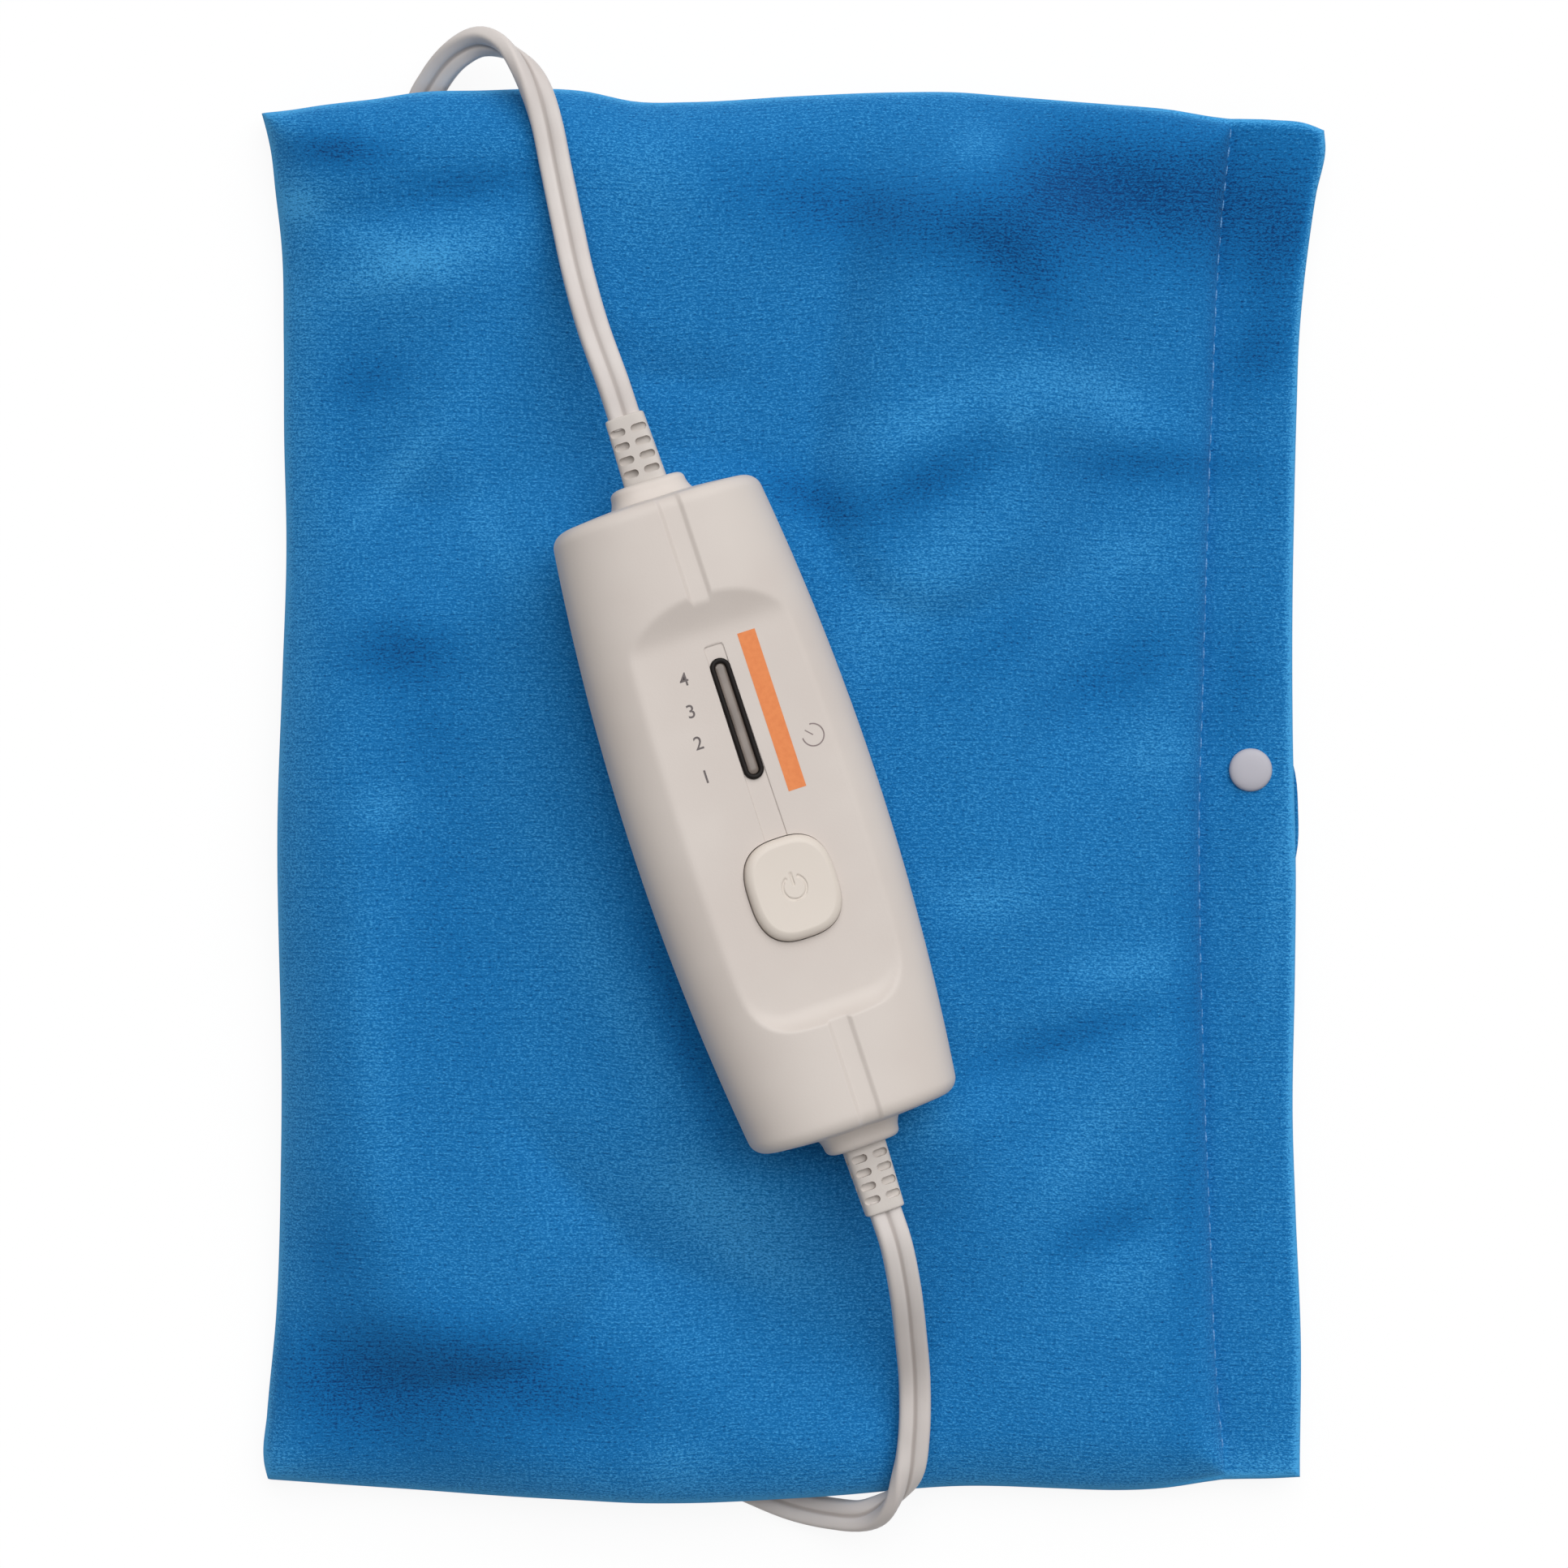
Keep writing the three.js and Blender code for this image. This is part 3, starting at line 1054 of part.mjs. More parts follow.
// Tie round the coil's strands on the side nearest the pad's foot.
const tieIn = COIL_INNER_RADIUS + COIL_STRAND_PITCH / 2 - CORD_THICK;
const tieOut = COIL_OUTER_RADIUS - COIL_STRAND_PITCH / 2 + CORD_THICK;
const tieBlock = solid(box(
  COIL_X - TIE_WIDTH / 2, COIL_X + TIE_WIDTH / 2, COIL_Y - tieOut - TIE_THICK, COIL_Y - tieIn + TIE_THICK,
  0, COIL_BASE + CORD_WIDTH + GAP + TIE_THICK / 2,
));
const tieWindow = solid(box(
  COIL_X - TIE_WIDTH, COIL_X + TIE_WIDTH, COIL_Y - tieOut, COIL_Y - tieIn,
  TIE_THICK, COIL_BASE + CORD_WIDTH + GAP,
));
addMesh(assembly, "coil_tie", geometryOf(tieBlock.subtract(tieWindow)), BLACK);

// Plug: a neck that swells into the grip, with two flat blades.
const plug = new THREE.Group();
const plugRings = PLUG_PROFILE.map(([along, wide, thick]) => {
  return Array.from({ length: PLUG_SIDES }, (_, i) => {
    const [a, b] = superellipse((i / PLUG_SIDES) * 2 * Math.PI, PLUG_SQUARENESS);
    return [wide * (PLUG_WIDTH / 2) * a, along * PLUG_LENGTH, (PLUG_THICK / 2) * (1 + thick * b)];
  });
});
addMesh(plug, "plug_body", loft(plugRings), CORD_GREY);
[-1, 1].forEach((side, i) => {
  const x = (side * BLADE_SPACING) / 2;
  addMesh(plug, `plug_blade_${i + 1}`, box(
    x - BLADE_THICK / 2, x + BLADE_THICK / 2, PLUG_LENGTH + GAP, PLUG_REACH,
    PLUG_THICK / 2 - BLADE_WIDTH / 2, PLUG_THICK / 2 + BLADE_WIDTH / 2,
  ), TIN);
});
plug.position.set(PLUG_X, PLUG_Y, 0);
plug.rotation.z = plugTurn;
assembly.add(plug);

export default assembly;
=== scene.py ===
# %% [markdown]
# # A heating pad with its hand control
# A blue velour cover holds a flat heating pad. A hand control lies on it, and two flat leads run from the
# control over the cover's ends and away underneath. The solids that a simulation uses are loaded first and
# stay as they are. Each visible piece is then worked out with numpy in millimetres, in the same frame as
# those solids, so nothing has to be fitted by eye.

import bmesh
import bpy
import numpy as np
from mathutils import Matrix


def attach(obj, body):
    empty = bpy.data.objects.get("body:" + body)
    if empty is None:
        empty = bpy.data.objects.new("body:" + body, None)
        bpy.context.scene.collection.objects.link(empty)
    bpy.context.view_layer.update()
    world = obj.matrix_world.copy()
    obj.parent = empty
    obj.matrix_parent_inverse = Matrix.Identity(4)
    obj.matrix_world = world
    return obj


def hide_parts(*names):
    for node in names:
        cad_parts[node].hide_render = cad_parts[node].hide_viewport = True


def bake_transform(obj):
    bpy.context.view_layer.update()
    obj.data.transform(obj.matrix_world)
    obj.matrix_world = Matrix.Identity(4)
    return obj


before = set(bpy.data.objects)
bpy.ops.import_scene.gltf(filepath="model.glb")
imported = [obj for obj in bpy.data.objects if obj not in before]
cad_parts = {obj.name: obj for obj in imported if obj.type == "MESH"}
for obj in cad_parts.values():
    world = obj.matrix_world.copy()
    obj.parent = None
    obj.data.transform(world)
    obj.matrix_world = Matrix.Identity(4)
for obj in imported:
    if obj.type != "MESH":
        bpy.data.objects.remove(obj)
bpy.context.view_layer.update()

# %% [markdown]
# ## From arrays to pieces
# Almost every surface here is a grid: rows along the piece and columns across it. One helper joins the grid's
# points into quads, another puts the arrays into a mesh. Columns that close on themselves repeat their first
# point, so that the pattern on the surface has a seam, and the repeated points are merged afterwards.

# %% Grids and meshes
MM = 0.001
MERGE = 1e-6
SURFACE_MAP = "surface"


def around(sides):
    """Angles of a full turn in even steps; the last one closes on the first."""
    return np.linspace(0, 2 * np.pi, sides + 1)


def grid_faces(rows, columns):
    """Quads of a grid: each joins a point, the next in its row and the two beside them in the next row."""
    row, column = np.meshgrid(np.arange(rows - 1), np.arange(columns - 1), indexing="ij")
    corner = row * columns + column
    return np.stack([corner, corner + 1, corner + columns + 1, corner + columns], axis=-1).reshape(-1, 4)


def build_mesh(name, points, faces, pattern=None, crease=40):
    """A mesh from points in mm: doubles merged, faces turned out, edges sharper than crease kept sharp."""
    mesh = bpy.data.meshes.new(name)
    mesh.from_pydata((points.reshape(-1, 3) * MM).tolist(), [], faces.tolist())
    if pattern is not None:
        corner = np.empty(len(mesh.loops), dtype=np.int32)
        mesh.loops.foreach_get("vertex_index", corner)
        flat = pattern.reshape(-1, 2)[corner].astype(np.float32)
        mesh.uv_layers.new(name=SURFACE_MAP).uv.foreach_set("vector", flat.ravel())
    edit = bmesh.new()
    edit.from_mesh(mesh)
    bmesh.ops.remove_doubles(edit, verts=edit.verts, dist=MERGE)
    bmesh.ops.recalc_face_normals(edit, faces=edit.faces)
    edit.to_mesh(mesh)
    edit.free()
    mesh.shade_smooth()
    mesh.set_sharp_from_angle(angle=np.radians(crease))
    return mesh


def grid_mesh(name, points, pattern=None, crease=40):
    """The mesh of a single grid of points, rows by columns."""
    return build_mesh(name, points, grid_faces(*points.shape[:2]), pattern, crease)


print("a grid of 3 by 4 points has", len(grid_faces(3, 4)), "quads")

# %% Pieces
def make_piece(name, mesh, finish, body="pad"):
    """An object at the origin that shows the mesh in a finish and rides on a body."""
    piece = bpy.data.objects.new(name, mesh)
    bpy.context.scene.collection.objects.link(piece)
    mesh.materials.clear()
    mesh.materials.append(finish)
    if body:
        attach(piece, body)
    print(name, len(mesh.vertices), "points,", len(mesh.polygons), "faces")
    return piece


def stand_for(piece, slot, *nodes):
    """Hides the solids of some nodes, so that a piece shows in their place; the piece and the slot are not
    used.
    """
    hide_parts(*nodes)


print("bodies that pieces can ride on: pad, button, hem")

# %% [markdown]
# ## Shader maths as Python
# A finish is a graph of small nodes. Wired by hand it soon becomes unreadable, so one class wraps a socket
# and lets plain expressions such as `1 - mask * 0.4` add the Math nodes. One method makes any other node.

# %% A socket that can be calculated with
MIX_FACTOR, MIX_FIRST, MIX_SECOND, MIX_RESULT = 0, 6, 7, 2


class Shade:
    """A value on its way through a finish: one output socket of its node tree."""

    def __init__(self, tree, socket=None):
        self.tree = tree
        self.socket = socket

    def node(self, kind, settings=None, inputs=None, out=0):
        """Any node: its settings first, then numbers or links for its inputs; gives one of its outputs."""
        made = self.tree.nodes.new(kind)
        for name, value in (settings or {}).items():
            setattr(made, name, value)
        for key, value in (inputs or {}).items():
            if isinstance(value, Shade):
                self.tree.links.new(value.socket, made.inputs[key])
            else:
                made.inputs[key].default_value = value
        return Shade(self.tree, made.outputs[out])

    def math(self, operation, *values):
        """A Math node that works on the given values and numbers."""
        return self.node("ShaderNodeMath", {"operation": operation}, dict(enumerate(values)))

    def mix(self, first, second):
        """Goes from the first colour to the second as this value goes from 0 to 1."""
        inputs = {MIX_FACTOR: self, MIX_FIRST: first, MIX_SECOND: second}
        return self.node("ShaderNodeMix", {"data_type": "RGBA"}, inputs, MIX_RESULT)

    def feed(self, shader, name):
        """Links this value to a socket of the shader."""
        self.tree.links.new(self.socket, shader.inputs[name])

    def __add__(self, other):
        return self.math("ADD", self, other)

    def __radd__(self, other):
        return self.math("ADD", other, self)

    def __sub__(self, other):
        return self.math("SUBTRACT", self, other)

    def __rsub__(self, other):
        return self.math("SUBTRACT", other, self)

    def __mul__(self, other):
        return self.math("MULTIPLY", self, other)

    def __rmul__(self, other):
        return self.math("MULTIPLY", other, self)


print("a socket can be added, subtracted and multiplied")

# %% Helpers for finishes
def srgb(red, green, blue):
    """A colour as a picture stores it, 0 to 255, turned into the linear values that shaders use."""
    share = np.array([red, green, blue]) / 255
    linear = np.where(share < 0.04045, share / 12.92, ((share + 0.055) / 1.055) ** 2.4)
    return (*linear.tolist(), 1.0)


def start_finish(name, constants):
    """A new material: its shader with the constant sockets set, and the place on the piece in metres."""
    material = bpy.data.materials.new(name)
    material.use_nodes = True
    shader = material.node_tree.nodes["Principled BSDF"]
    for socket, value in constants.items():
        shader.inputs[socket].default_value = value
    place = Shade(material.node_tree).node("ShaderNodeTexCoord", out="Object")
    return material, shader, place


def noise(place, scale, detail=2.0, roughness=0.5):
    """Soft random spots, about one over scale across, from 0 to 1."""
    inputs = {"Vector": place, "Scale": scale, "Detail": detail, "Roughness": roughness}
    return place.node("ShaderNodeTexNoise", None, inputs)


def spread(value, low=0.3, high=0.7):
    """Stretches the part of a value between low and high to 0 to 1."""
    inputs = {"Value": value, "From Min": low, "From Max": high}
    return value.node("ShaderNodeMapRange", {"interpolation_type": "SMOOTHSTEP"}, inputs)


def add_bump(shader, height, distance, strength):
    """Lets a height from 0 to 1 tilt the surface as relief of the given depth in metres would."""
    inputs = {"Strength": strength, "Distance": distance, "Height": height}
    height.node("ShaderNodeBump", None, inputs).feed(shader, "Normal")


print("mid grey as a linear value:", round(srgb(128, 128, 128)[0], 4))

# %% [markdown]
# ## Camera, light and floor
# The photograph looks straight down, with the pad's long side upright. The camera stands a metre above the
# pad and a long lens keeps the upright sides from spreading. One broad lamp beyond the head end gives the
# control its soft shadow, and the sky fills in the rest, so that a colour renders about as it is written.

# %% Camera
CAMERA_PLACE = (-2.16, 2.16, 1012.0)
SENSOR = 36.0
PICTURE_WIDTH = 347.8
PAD_LEVEL = 12.0

scene = bpy.context.scene
scene.view_settings.view_transform = "Standard"
camera = bpy.data.objects.new("camera", bpy.data.cameras.new("camera"))
scene.collection.objects.link(camera)
camera.location = [q * MM for q in CAMERA_PLACE]
camera.data.sensor_width = SENSOR
camera.data.lens = SENSOR * (CAMERA_PLACE[2] - PAD_LEVEL) / PICTURE_WIDTH
scene.camera = camera
print("lens, mm:", round(camera.data.lens, 1))

# %% Lamp and sky
LAMP_HEADING = 67.0
LAMP_HEIGHT = 54.0
LAMP_SHARE = 0.72
LAMP_SOFTNESS = 70.0
SKY_SHARE = 0.27
WHITE = (1, 1, 1, 1)

lamp = bpy.data.objects.new("lamp", bpy.data.lights.new("lamp", "SUN"))
scene.collection.objects.link(lamp)
lamp.data.energy = LAMP_SHARE * np.pi / np.sin(np.radians(LAMP_HEIGHT))
lamp.data.angle = np.radians(LAMP_SOFTNESS)
lamp.rotation_euler = (0, np.radians(90 - LAMP_HEIGHT), np.radians(LAMP_HEADING))


def seen(tree):
    """1 for rays that the camera sends, straight or by mirror or glass, and 0 for light that only bounces."""
    path = Shade(tree).node("ShaderNodeLightPath", out="Is Camera Ray")
    ray = path.socket.node.outputs
    mirror = Shade(tree, ray["Is Glossy Ray"])
    glass = Shade(tree, ray["Is Transmission Ray"])
    return path.math("MAXIMUM", path, path.math("MAXIMUM", mirror, glass))


world = bpy.data.worlds.new("sky")
scene.world = world
world.use_nodes = True
sky = world.node_tree.nodes["Background"]
sky.inputs["Color"].default_value = WHITE
(SKY_SHARE + seen(world.node_tree) * (1 - SKY_SHARE)).feed(sky, "Strength")
print("lamp energy:", round(lamp.data.energy, 2))

# %% Floor
FLOOR_SHOW = 0.8
FLOOR_TONE = 0.5
FLOOR_HALF = 3000.0
FLOOR_LEVEL = -0.2

white_floor = bpy.data.materials.new("white_floor")
white_floor.use_nodes = True
floor_tree = white_floor.node_tree
matt = floor_tree.nodes["Principled BSDF"]
matt.inputs["Base Color"].default_value = (FLOOR_TONE, FLOOR_TONE, FLOOR_TONE, 1)
matt.inputs["Roughness"].default_value = 1.0
glow_strength = (1 - (1 - FLOOR_SHOW) * FLOOR_TONE) / FLOOR_SHOW
glow = Shade(floor_tree).node("ShaderNodeEmission", None, {"Color": WHITE, "Strength": glow_strength})
floor_mix = {0: seen(floor_tree) * FLOOR_SHOW, 1: Shade(floor_tree, matt.outputs[0]), 2: glow}
surface = glow.node("ShaderNodeMixShader", None, floor_mix)
surface.feed(floor_tree.nodes["Material Output"], "Surface")

floor_side = np.array([-FLOOR_HALF, FLOOR_HALF])
floor_grid = np.stack([*np.meshgrid(floor_side, floor_side), np.full((2, 2), FLOOR_LEVEL)], axis=-1)
floor = make_piece("floor", grid_mesh("floor", floor_grid), white_floor, body=None)

# %% [markdown]
# ## The two leads
# Each lead is a flat twin cord: two round cores side by side with a groove between them. It leaves the
# control, runs over the cover's end, turns over as it dips below the pad, and lies on the floor under it. A
# curve with a bevel would do for a round cord. Here the section is flat and has to turn over on the way, so
# the section is carried along the route by hand. The points are the ones that the solids use.

# %% Vinyl of the leads
def cord_vinyl():
    """Warm grey vinyl with a dull shine: cloudy colour, faint grain and painted shade in the groove."""
    material, shader, place = start_finish("cord_vinyl", {"Specular IOR Level": 0.4})
    along = place.node("ShaderNodeUVMap", {"uv_map": SURFACE_MAP})
    across = along.node("ShaderNodeSeparateXYZ", None, {0: along}, out=0)
    clouds = noise(place, 55.0, 3.0)
    grain = noise(place, 1900.0)
    # Painted shade: the colour darkens towards the middle of the section, in the groove between the cores.
    groove = 1 - spread(across.math("ABSOLUTE", across), 0.02, 0.1)
    base = spread(clouds).mix(srgb(196, 188, 184), srgb(204, 197, 193))
    (groove * 0.7).mix(base, srgb(150, 140, 135)).feed(shader, "Base Color")
    (0.4 + grain * 0.14).feed(shader, "Roughness")
    add_bump(shader, grain, 0.00005, 0.35)
    return material


lead_vinyl = cord_vinyl()
print("finish:", lead_vinyl.name)

# %% Smooth routes
CORD_FLOOR = 2.05
CORD_STEP = 1.3
ROUTE_PARTS = 14


def smooth_route(points):
    """On each stretch the cubic with the end slopes of a centripetal Catmull-Rom spline, in even steps."""
    points = np.array(points, dtype=float)
    far = np.vstack([2 * points[0] - points[1], points, 2 * points[-1] - points[-2]])
    a, b, c, d = far[:-3], far[1:-2], far[2:-1], far[3:]
    gap_a, gap_b, gap_c = (np.linalg.norm(q, axis=1)[:, None] ** 0.5 for q in (b - a, c - b, d - c))
    leave = ((b - a) / gap_a - (c - a) / (gap_a + gap_b) + (c - b) / gap_b) * gap_b
    meet = ((c - b) / gap_b - (d - b) / (gap_b + gap_c) + (d - c) / gap_c) * gap_b
    q = np.linspace(0, 1, ROUTE_PARTS, endpoint=False)[None, :, None]
    b, c, leave, meet = (part[:, None, :] for part in (b, c, leave, meet))
    curve = b + leave * q + (3 * (c - b) - 2 * leave - meet) * q**2 + (2 * (b - c) + leave + meet) * q**3
    curve = np.vstack([curve.reshape(-1, 3), points[-1]])
    curve[:, 2] = np.maximum(curve[:, 2], CORD_FLOOR)
    travelled = np.concatenate([[0], np.cumsum(np.linalg.norm(np.diff(curve, axis=0), axis=1))])
    even = np.linspace(0, travelled[-1], int(travelled[-1] / CORD_STEP) + 1)
    return np.stack([np.interp(even, travelled, curve[:, k]) for k in range(3)], axis=1), even


def ease(q):
    """Half a cosine: 0 before 0, 1 after 1, smooth between."""
    return 0.5 - 0.5 * np.cos(np.pi * np.clip(q, 0, 1))


print("half way, half a cosine gives", round(float(ease(0.5)), 3))

# %% Flat twin section
CORD_WIDTH = 7.0
CORD_THICK = 3.5
CORD_WEB = 1.2
CORD_SQUARE = 3.0
CORD_SIDES = 44
WEB_BLEND = 14


def cord_section():
    """Width x cos(angle) across; up, the nearer core's squared circle, smoothly joined to the web between."""
    angle = around(CORD_SIDES)
    across = CORD_WIDTH / 2 * np.cos(angle)
    core = CORD_THICK / 2
    aside = np.clip(np.abs(across) - (CORD_WIDTH / 2 - core), -core, core)
    round_core = core * np.maximum(1 - np.abs(aside / core) ** CORD_SQUARE, 0) ** (1 / CORD_SQUARE)
    bridged = np.logaddexp(WEB_BLEND * round_core, WEB_BLEND * CORD_WEB) / WEB_BLEND
    high = np.where(np.abs(across) < core, bridged, round_core)
    return across, high * np.sign(np.sin(angle).round(9))


print("groove between the cores, mm deep:", round(float(np.ptp(np.abs(cord_section()[1][8:12]))), 2))

# %% Where the control lies
CONTROL_PLACE = np.array([-8.5, -4.25, 38.4989])
CONTROL_HEADING = np.radians(18.2)
CONTROL_ROLL = np.radians(13.3)


def turn_about(axis, angle):
    """The matrix that turns by an angle about x, y or z, given as 0, 1 or 2."""
    first, second = (axis + 1) % 3, (axis + 2) % 3
    matrix = np.eye(3)
    matrix[first, first] = matrix[second, second] = np.cos(angle)
    matrix[second, first] = np.sin(angle)
    matrix[first, second] = -np.sin(angle)
    return matrix


CONTROL_TURN = turn_about(2, CONTROL_HEADING) @ turn_about(1, CONTROL_ROLL)
CONTROL_UP = CONTROL_TURN[:, 2]
print("the control's own up direction:", np.round(CONTROL_UP, 3).tolist())

# %% Section carried along a route
CORD_ROOT = 3.0
UPRIGHT_AFTER = 60.0
MAP_UNIT = 10


def unit(vectors):
    """Each row divided by its own length."""
    return vectors / np.linalg.norm(vectors, axis=1)[:, None]


def swept_cord(name, points, turn):
    """Each route point plus the section laid on its side and up directions, turned about the route."""
    path, travelled = smooth_route(points)
    tangent = unit(np.gradient(path, axis=0))
    settled = ease(travelled / UPRIGHT_AFTER)[:, None]
    up = CONTROL_UP * (1 - settled) + np.array([0, 0, 1.0]) * settled
    up = unit(up - tangent * np.sum(up * tangent, axis=1)[:, None])
    angle = turn(travelled)[:, None]
    up = up * np.cos(angle) + np.cross(tangent, up) * np.sin(angle)
    side = np.cross(tangent, up)
    across, high = cord_section()
    rings = path[:, None] + across[None, :, None] * side[:, None] + high[None, :, None] * up[:, None]
    root = rings[:1] - CORD_ROOT * tangent[0]
    caps = [np.repeat(ring.mean(axis=1)[:, None], rings.shape[1], axis=1) for ring in (root, rings[-1:])]
    rings = np.concatenate([caps[0], root, rings, caps[1]])
    run = np.concatenate([[-CORD_ROOT, -CORD_ROOT], travelled, travelled[-1:]]) / MAP_UNIT
    pattern = np.stack(np.broadcast_arrays(across[None, :] / CORD_WIDTH, run[:, None]), axis=-1)
    mesh = grid_mesh(name, rings, pattern, crease=70)
    return make_piece(name, mesh, lead_vinyl), path, travelled[-1]


print("a lead turns upright over its first", UPRIGHT_AFTER, "mm")

# %% Pad lead
RELIEF_EXIT_PAD = (-36.8, 81.82, 38.5)
PAD_LEAD_OVER = [
    RELIEF_EXIT_PAD, (-38.98, 88.47, 38.5), (-43.5, 101, 34.5), (-47, 113.2, 29), (-49.7, 125.2, 24),
    (-52.2, 137.1, 21.4), (-54.5, 148.1, 20.4), (-57, 155.5, 19.8), (-60.2, 161.1, 18), (-64.4, 165.3, 15.4),
    (-69.8, 166.8, 12), (-75.4, 164.4, 8.4), (-80.2, 159.4, 4.8),
]
PAD_LEAD_UNDER = [
    (-83.5, 153), (-80, 143), (-70, 132), (-54, 124), (-34, 119), (-14, 114), (2, 105), (8.5, 91), (3, 77),
    (-12, 69), (-30, 65.6), (-46, 66.4), (-56, 71.6), (-60, 83), (-60, 89.7),
]
PAD_LEAD_LENGTH = 338.1
PAD_FLIP_START, PAD_FLIP_RUN = 0.2, 0.14


def pad_lead_turn(travelled):
    """Half a turn over as the lead dips round the pad's head end."""
    return np.pi * ease((travelled / PAD_LEAD_LENGTH - PAD_FLIP_START) / PAD_FLIP_RUN)


pad_route = PAD_LEAD_OVER + [(x, y, CORD_FLOOR) for x, y in PAD_LEAD_UNDER]
pad_cord, pad_path, pad_length = swept_cord("pad_cord", pad_route, pad_lead_turn)
stand_for(pad_cord, "cord", "pad_lead")
print("pad lead, mm:", round(pad_length, 1))

# %% Mains lead's route
RELIEF_EXIT_MAINS = (19.8, -90.32, 38.5)
MAINS_LEAD_OVER = [
    RELIEF_EXIT_MAINS, (21.98, -96.97, 38.5), (24, -106.8, 34.5), (25.5, -118.2, 27), (26.6, -130, 20),
    (26.5, -141.5, 18), (25.3, -149.7, 16.4), (22, -156.6, 13), (16, -160.6, 8.4), (8.6, -160.8, 4.8),
    (0.4, -159.4, 2.4),
]
MAINS_LEAD_UNDER = [(-7.5, -156.4), (-22, -149.4), (-41, -138), (-58, -122), (-70, -102)]
COIL_LEVEL = 4.8
COIL_APPROACH = [(-79, -78, COIL_LEVEL), (-80, -53, COIL_LEVEL), (-80, -28, COIL_LEVEL)]
COIL_CENTRE = np.array([-27.0, -8.0])
COIL_INNER = 30.0
COIL_PITCH = 4.6
COIL_HALF_TURNS = 5
COIL_TAIL = [
    (26, -1, COIL_LEVEL), (26.8, 16, COIL_LEVEL), (28, 36, COIL_LEVEL), (29.78, 53.11, 5.25),
    (30.95, 59.7, 5.25),
]


def coil_points():
    """A spiral in, radius growing with its angle, a half circle to the centre, and the same turned about."""
    angle = np.linspace(COIL_HALF_TURNS * np.pi, 0, 12 * COIL_HALF_TURNS + 1)
    radius = COIL_INNER + COIL_PITCH * angle / np.pi
    inward = np.stack([radius * np.cos(angle), radius * np.sin(angle)], axis=1)
    bend = -np.pi * np.arange(1, 12) / 12
    half = COIL_INNER / 2 * np.stack([1 + np.cos(bend), np.sin(bend)], axis=1)
    strand = np.vstack([inward, half])
    flat = np.vstack([strand, [[0, 0]], -strand[::-1]]) + COIL_CENTRE
    return np.column_stack([flat, np.full(len(flat), COIL_LEVEL)])


mains_under = [(x, y, CORD_FLOOR) for x, y in MAINS_LEAD_UNDER]
mains_route = np.vstack([MAINS_LEAD_OVER, mains_under, COIL_APPROACH, coil_points(), COIL_TAIL])
print("mains route:", len(mains_route), "points")

# %% Mains lead
MAINS_LEAD_LENGTH = 288.5
COIL_LENGTH = 1394.8
TAIL_LENGTH = 67.7
FOOT_FLIP_START, FOOT_FLIP_RUN = 0.2, 0.11
ON_EDGE_START, ON_EDGE_RUN = 0.67, 0.2
FLAT_START, FLAT_RUN = 0.25, 0.55


def mains_turn(travelled):
    """Half a turn over at the pad's foot, a quarter turn on to its edge for the coil, and a quarter back."""
    lead = travelled / MAINS_LEAD_LENGTH
    tail = (travelled - MAINS_LEAD_LENGTH - COIL_LENGTH) / TAIL_LENGTH
    over = -np.pi * ease((lead - FOOT_FLIP_START) / FOOT_FLIP_RUN)
    on_edge = np.pi / 2 * ease((lead - ON_EDGE_START) / ON_EDGE_RUN)
    return over + on_edge + np.pi / 2 * ease((tail - FLAT_START) / FLAT_RUN)


mains_cord, mains_path, mains_length = swept_cord("mains_cord", mains_route, mains_turn)
stand_for(mains_cord, "cord", "mains_lead", "mains_coil", "mains_tail")
print("mains lead, mm:", round(mains_length, 1))

# %% [markdown]
# ## Velour
# The cover is a brushed knit: short pile that scatters light, over fine rows of loops. Up close the rows show
# as broken dark lines about a millimetre apart, and stroked pile leaves paler and darker clouds. A woven
# texture would look too hard, so speckle, rows and clouds are mixed softly and the pile's glow comes from
# the shader's sheen. Painted light and shade are kept at the cloth's points along with the stroked pile, and
# the pale fringe at its cut edges is a painted highlight. The rows follow the cloth's own map, measured along
# the surface in millimetres.

# %% Velour finish
ROW_PITCH = 1.04
PILE_AND_LIGHT = "pile_and_light_tone"


def velour(name, deep, middle, pale):
    """Three tones mixed by rows of loops, fuzzy speckle, clouds, and the tone of stroked pile and painted
    light and shade that the cloth keeps at its points.
    """
    constants = {"Specular IOR Level": 0.15, "Sheen Weight": 0.22, "Sheen Roughness": 0.45,
                 "Sheen Tint": srgb(120, 190, 235)}
    material, shader, place = start_finish(name, constants)
    cloth = place.node("ShaderNodeUVMap", {"uv_map": SURFACE_MAP})
    along = cloth.node("ShaderNodeSeparateXYZ", None, {0: cloth}, out=1)
    wander = noise(cloth, 0.09) * 1.6 + noise(cloth, 0.6, 1.0) * 0.25
    wave = along.math("SINE", (along + wander) * (2 * np.pi / ROW_PITCH))
    stretched = cloth.node("ShaderNodeMapping", None, {"Vector": cloth, "Scale": (0.7, 1.25, 1.0)})
    broken = spread(noise(stretched, 0.8), 0.36, 0.66)
    gaps = 1 - (wave * 0.5 + 0.5) * broken
    speckle = spread(noise(stretched, 2.2, 3.0, 0.75))
    clouds = spread(noise(cloth, 0.1, 4.0, 0.6), 0.25, 0.75)
    # Painted light and shade come in here, kept at the cloth's points together with the stroked pile.
    pile_and_light_tone = place.node("ShaderNodeAttribute", {"attribute_name": PILE_AND_LIGHT}, out="Fac")
    tone = speckle * 0.8 + clouds * 0.06 + gaps * 0.3 + pile_and_light_tone - 0.06
    low = spread(tone, -0.25, 0.52).mix(deep, middle)
    spread(tone, 0.5, 1.25).mix(low, pale).feed(shader, "Base Color")
    (0.82 + speckle * 0.15).feed(shader, "Roughness")
    add_bump(shader, speckle * 0.6 + gaps * 0.4, 0.00028, 0.55)
    return material


blue_velour = velour("blue_velour", srgb(1, 52, 107), srgb(14, 108, 174), srgb(72, 165, 226))
print("finish:", blue_velour.name)

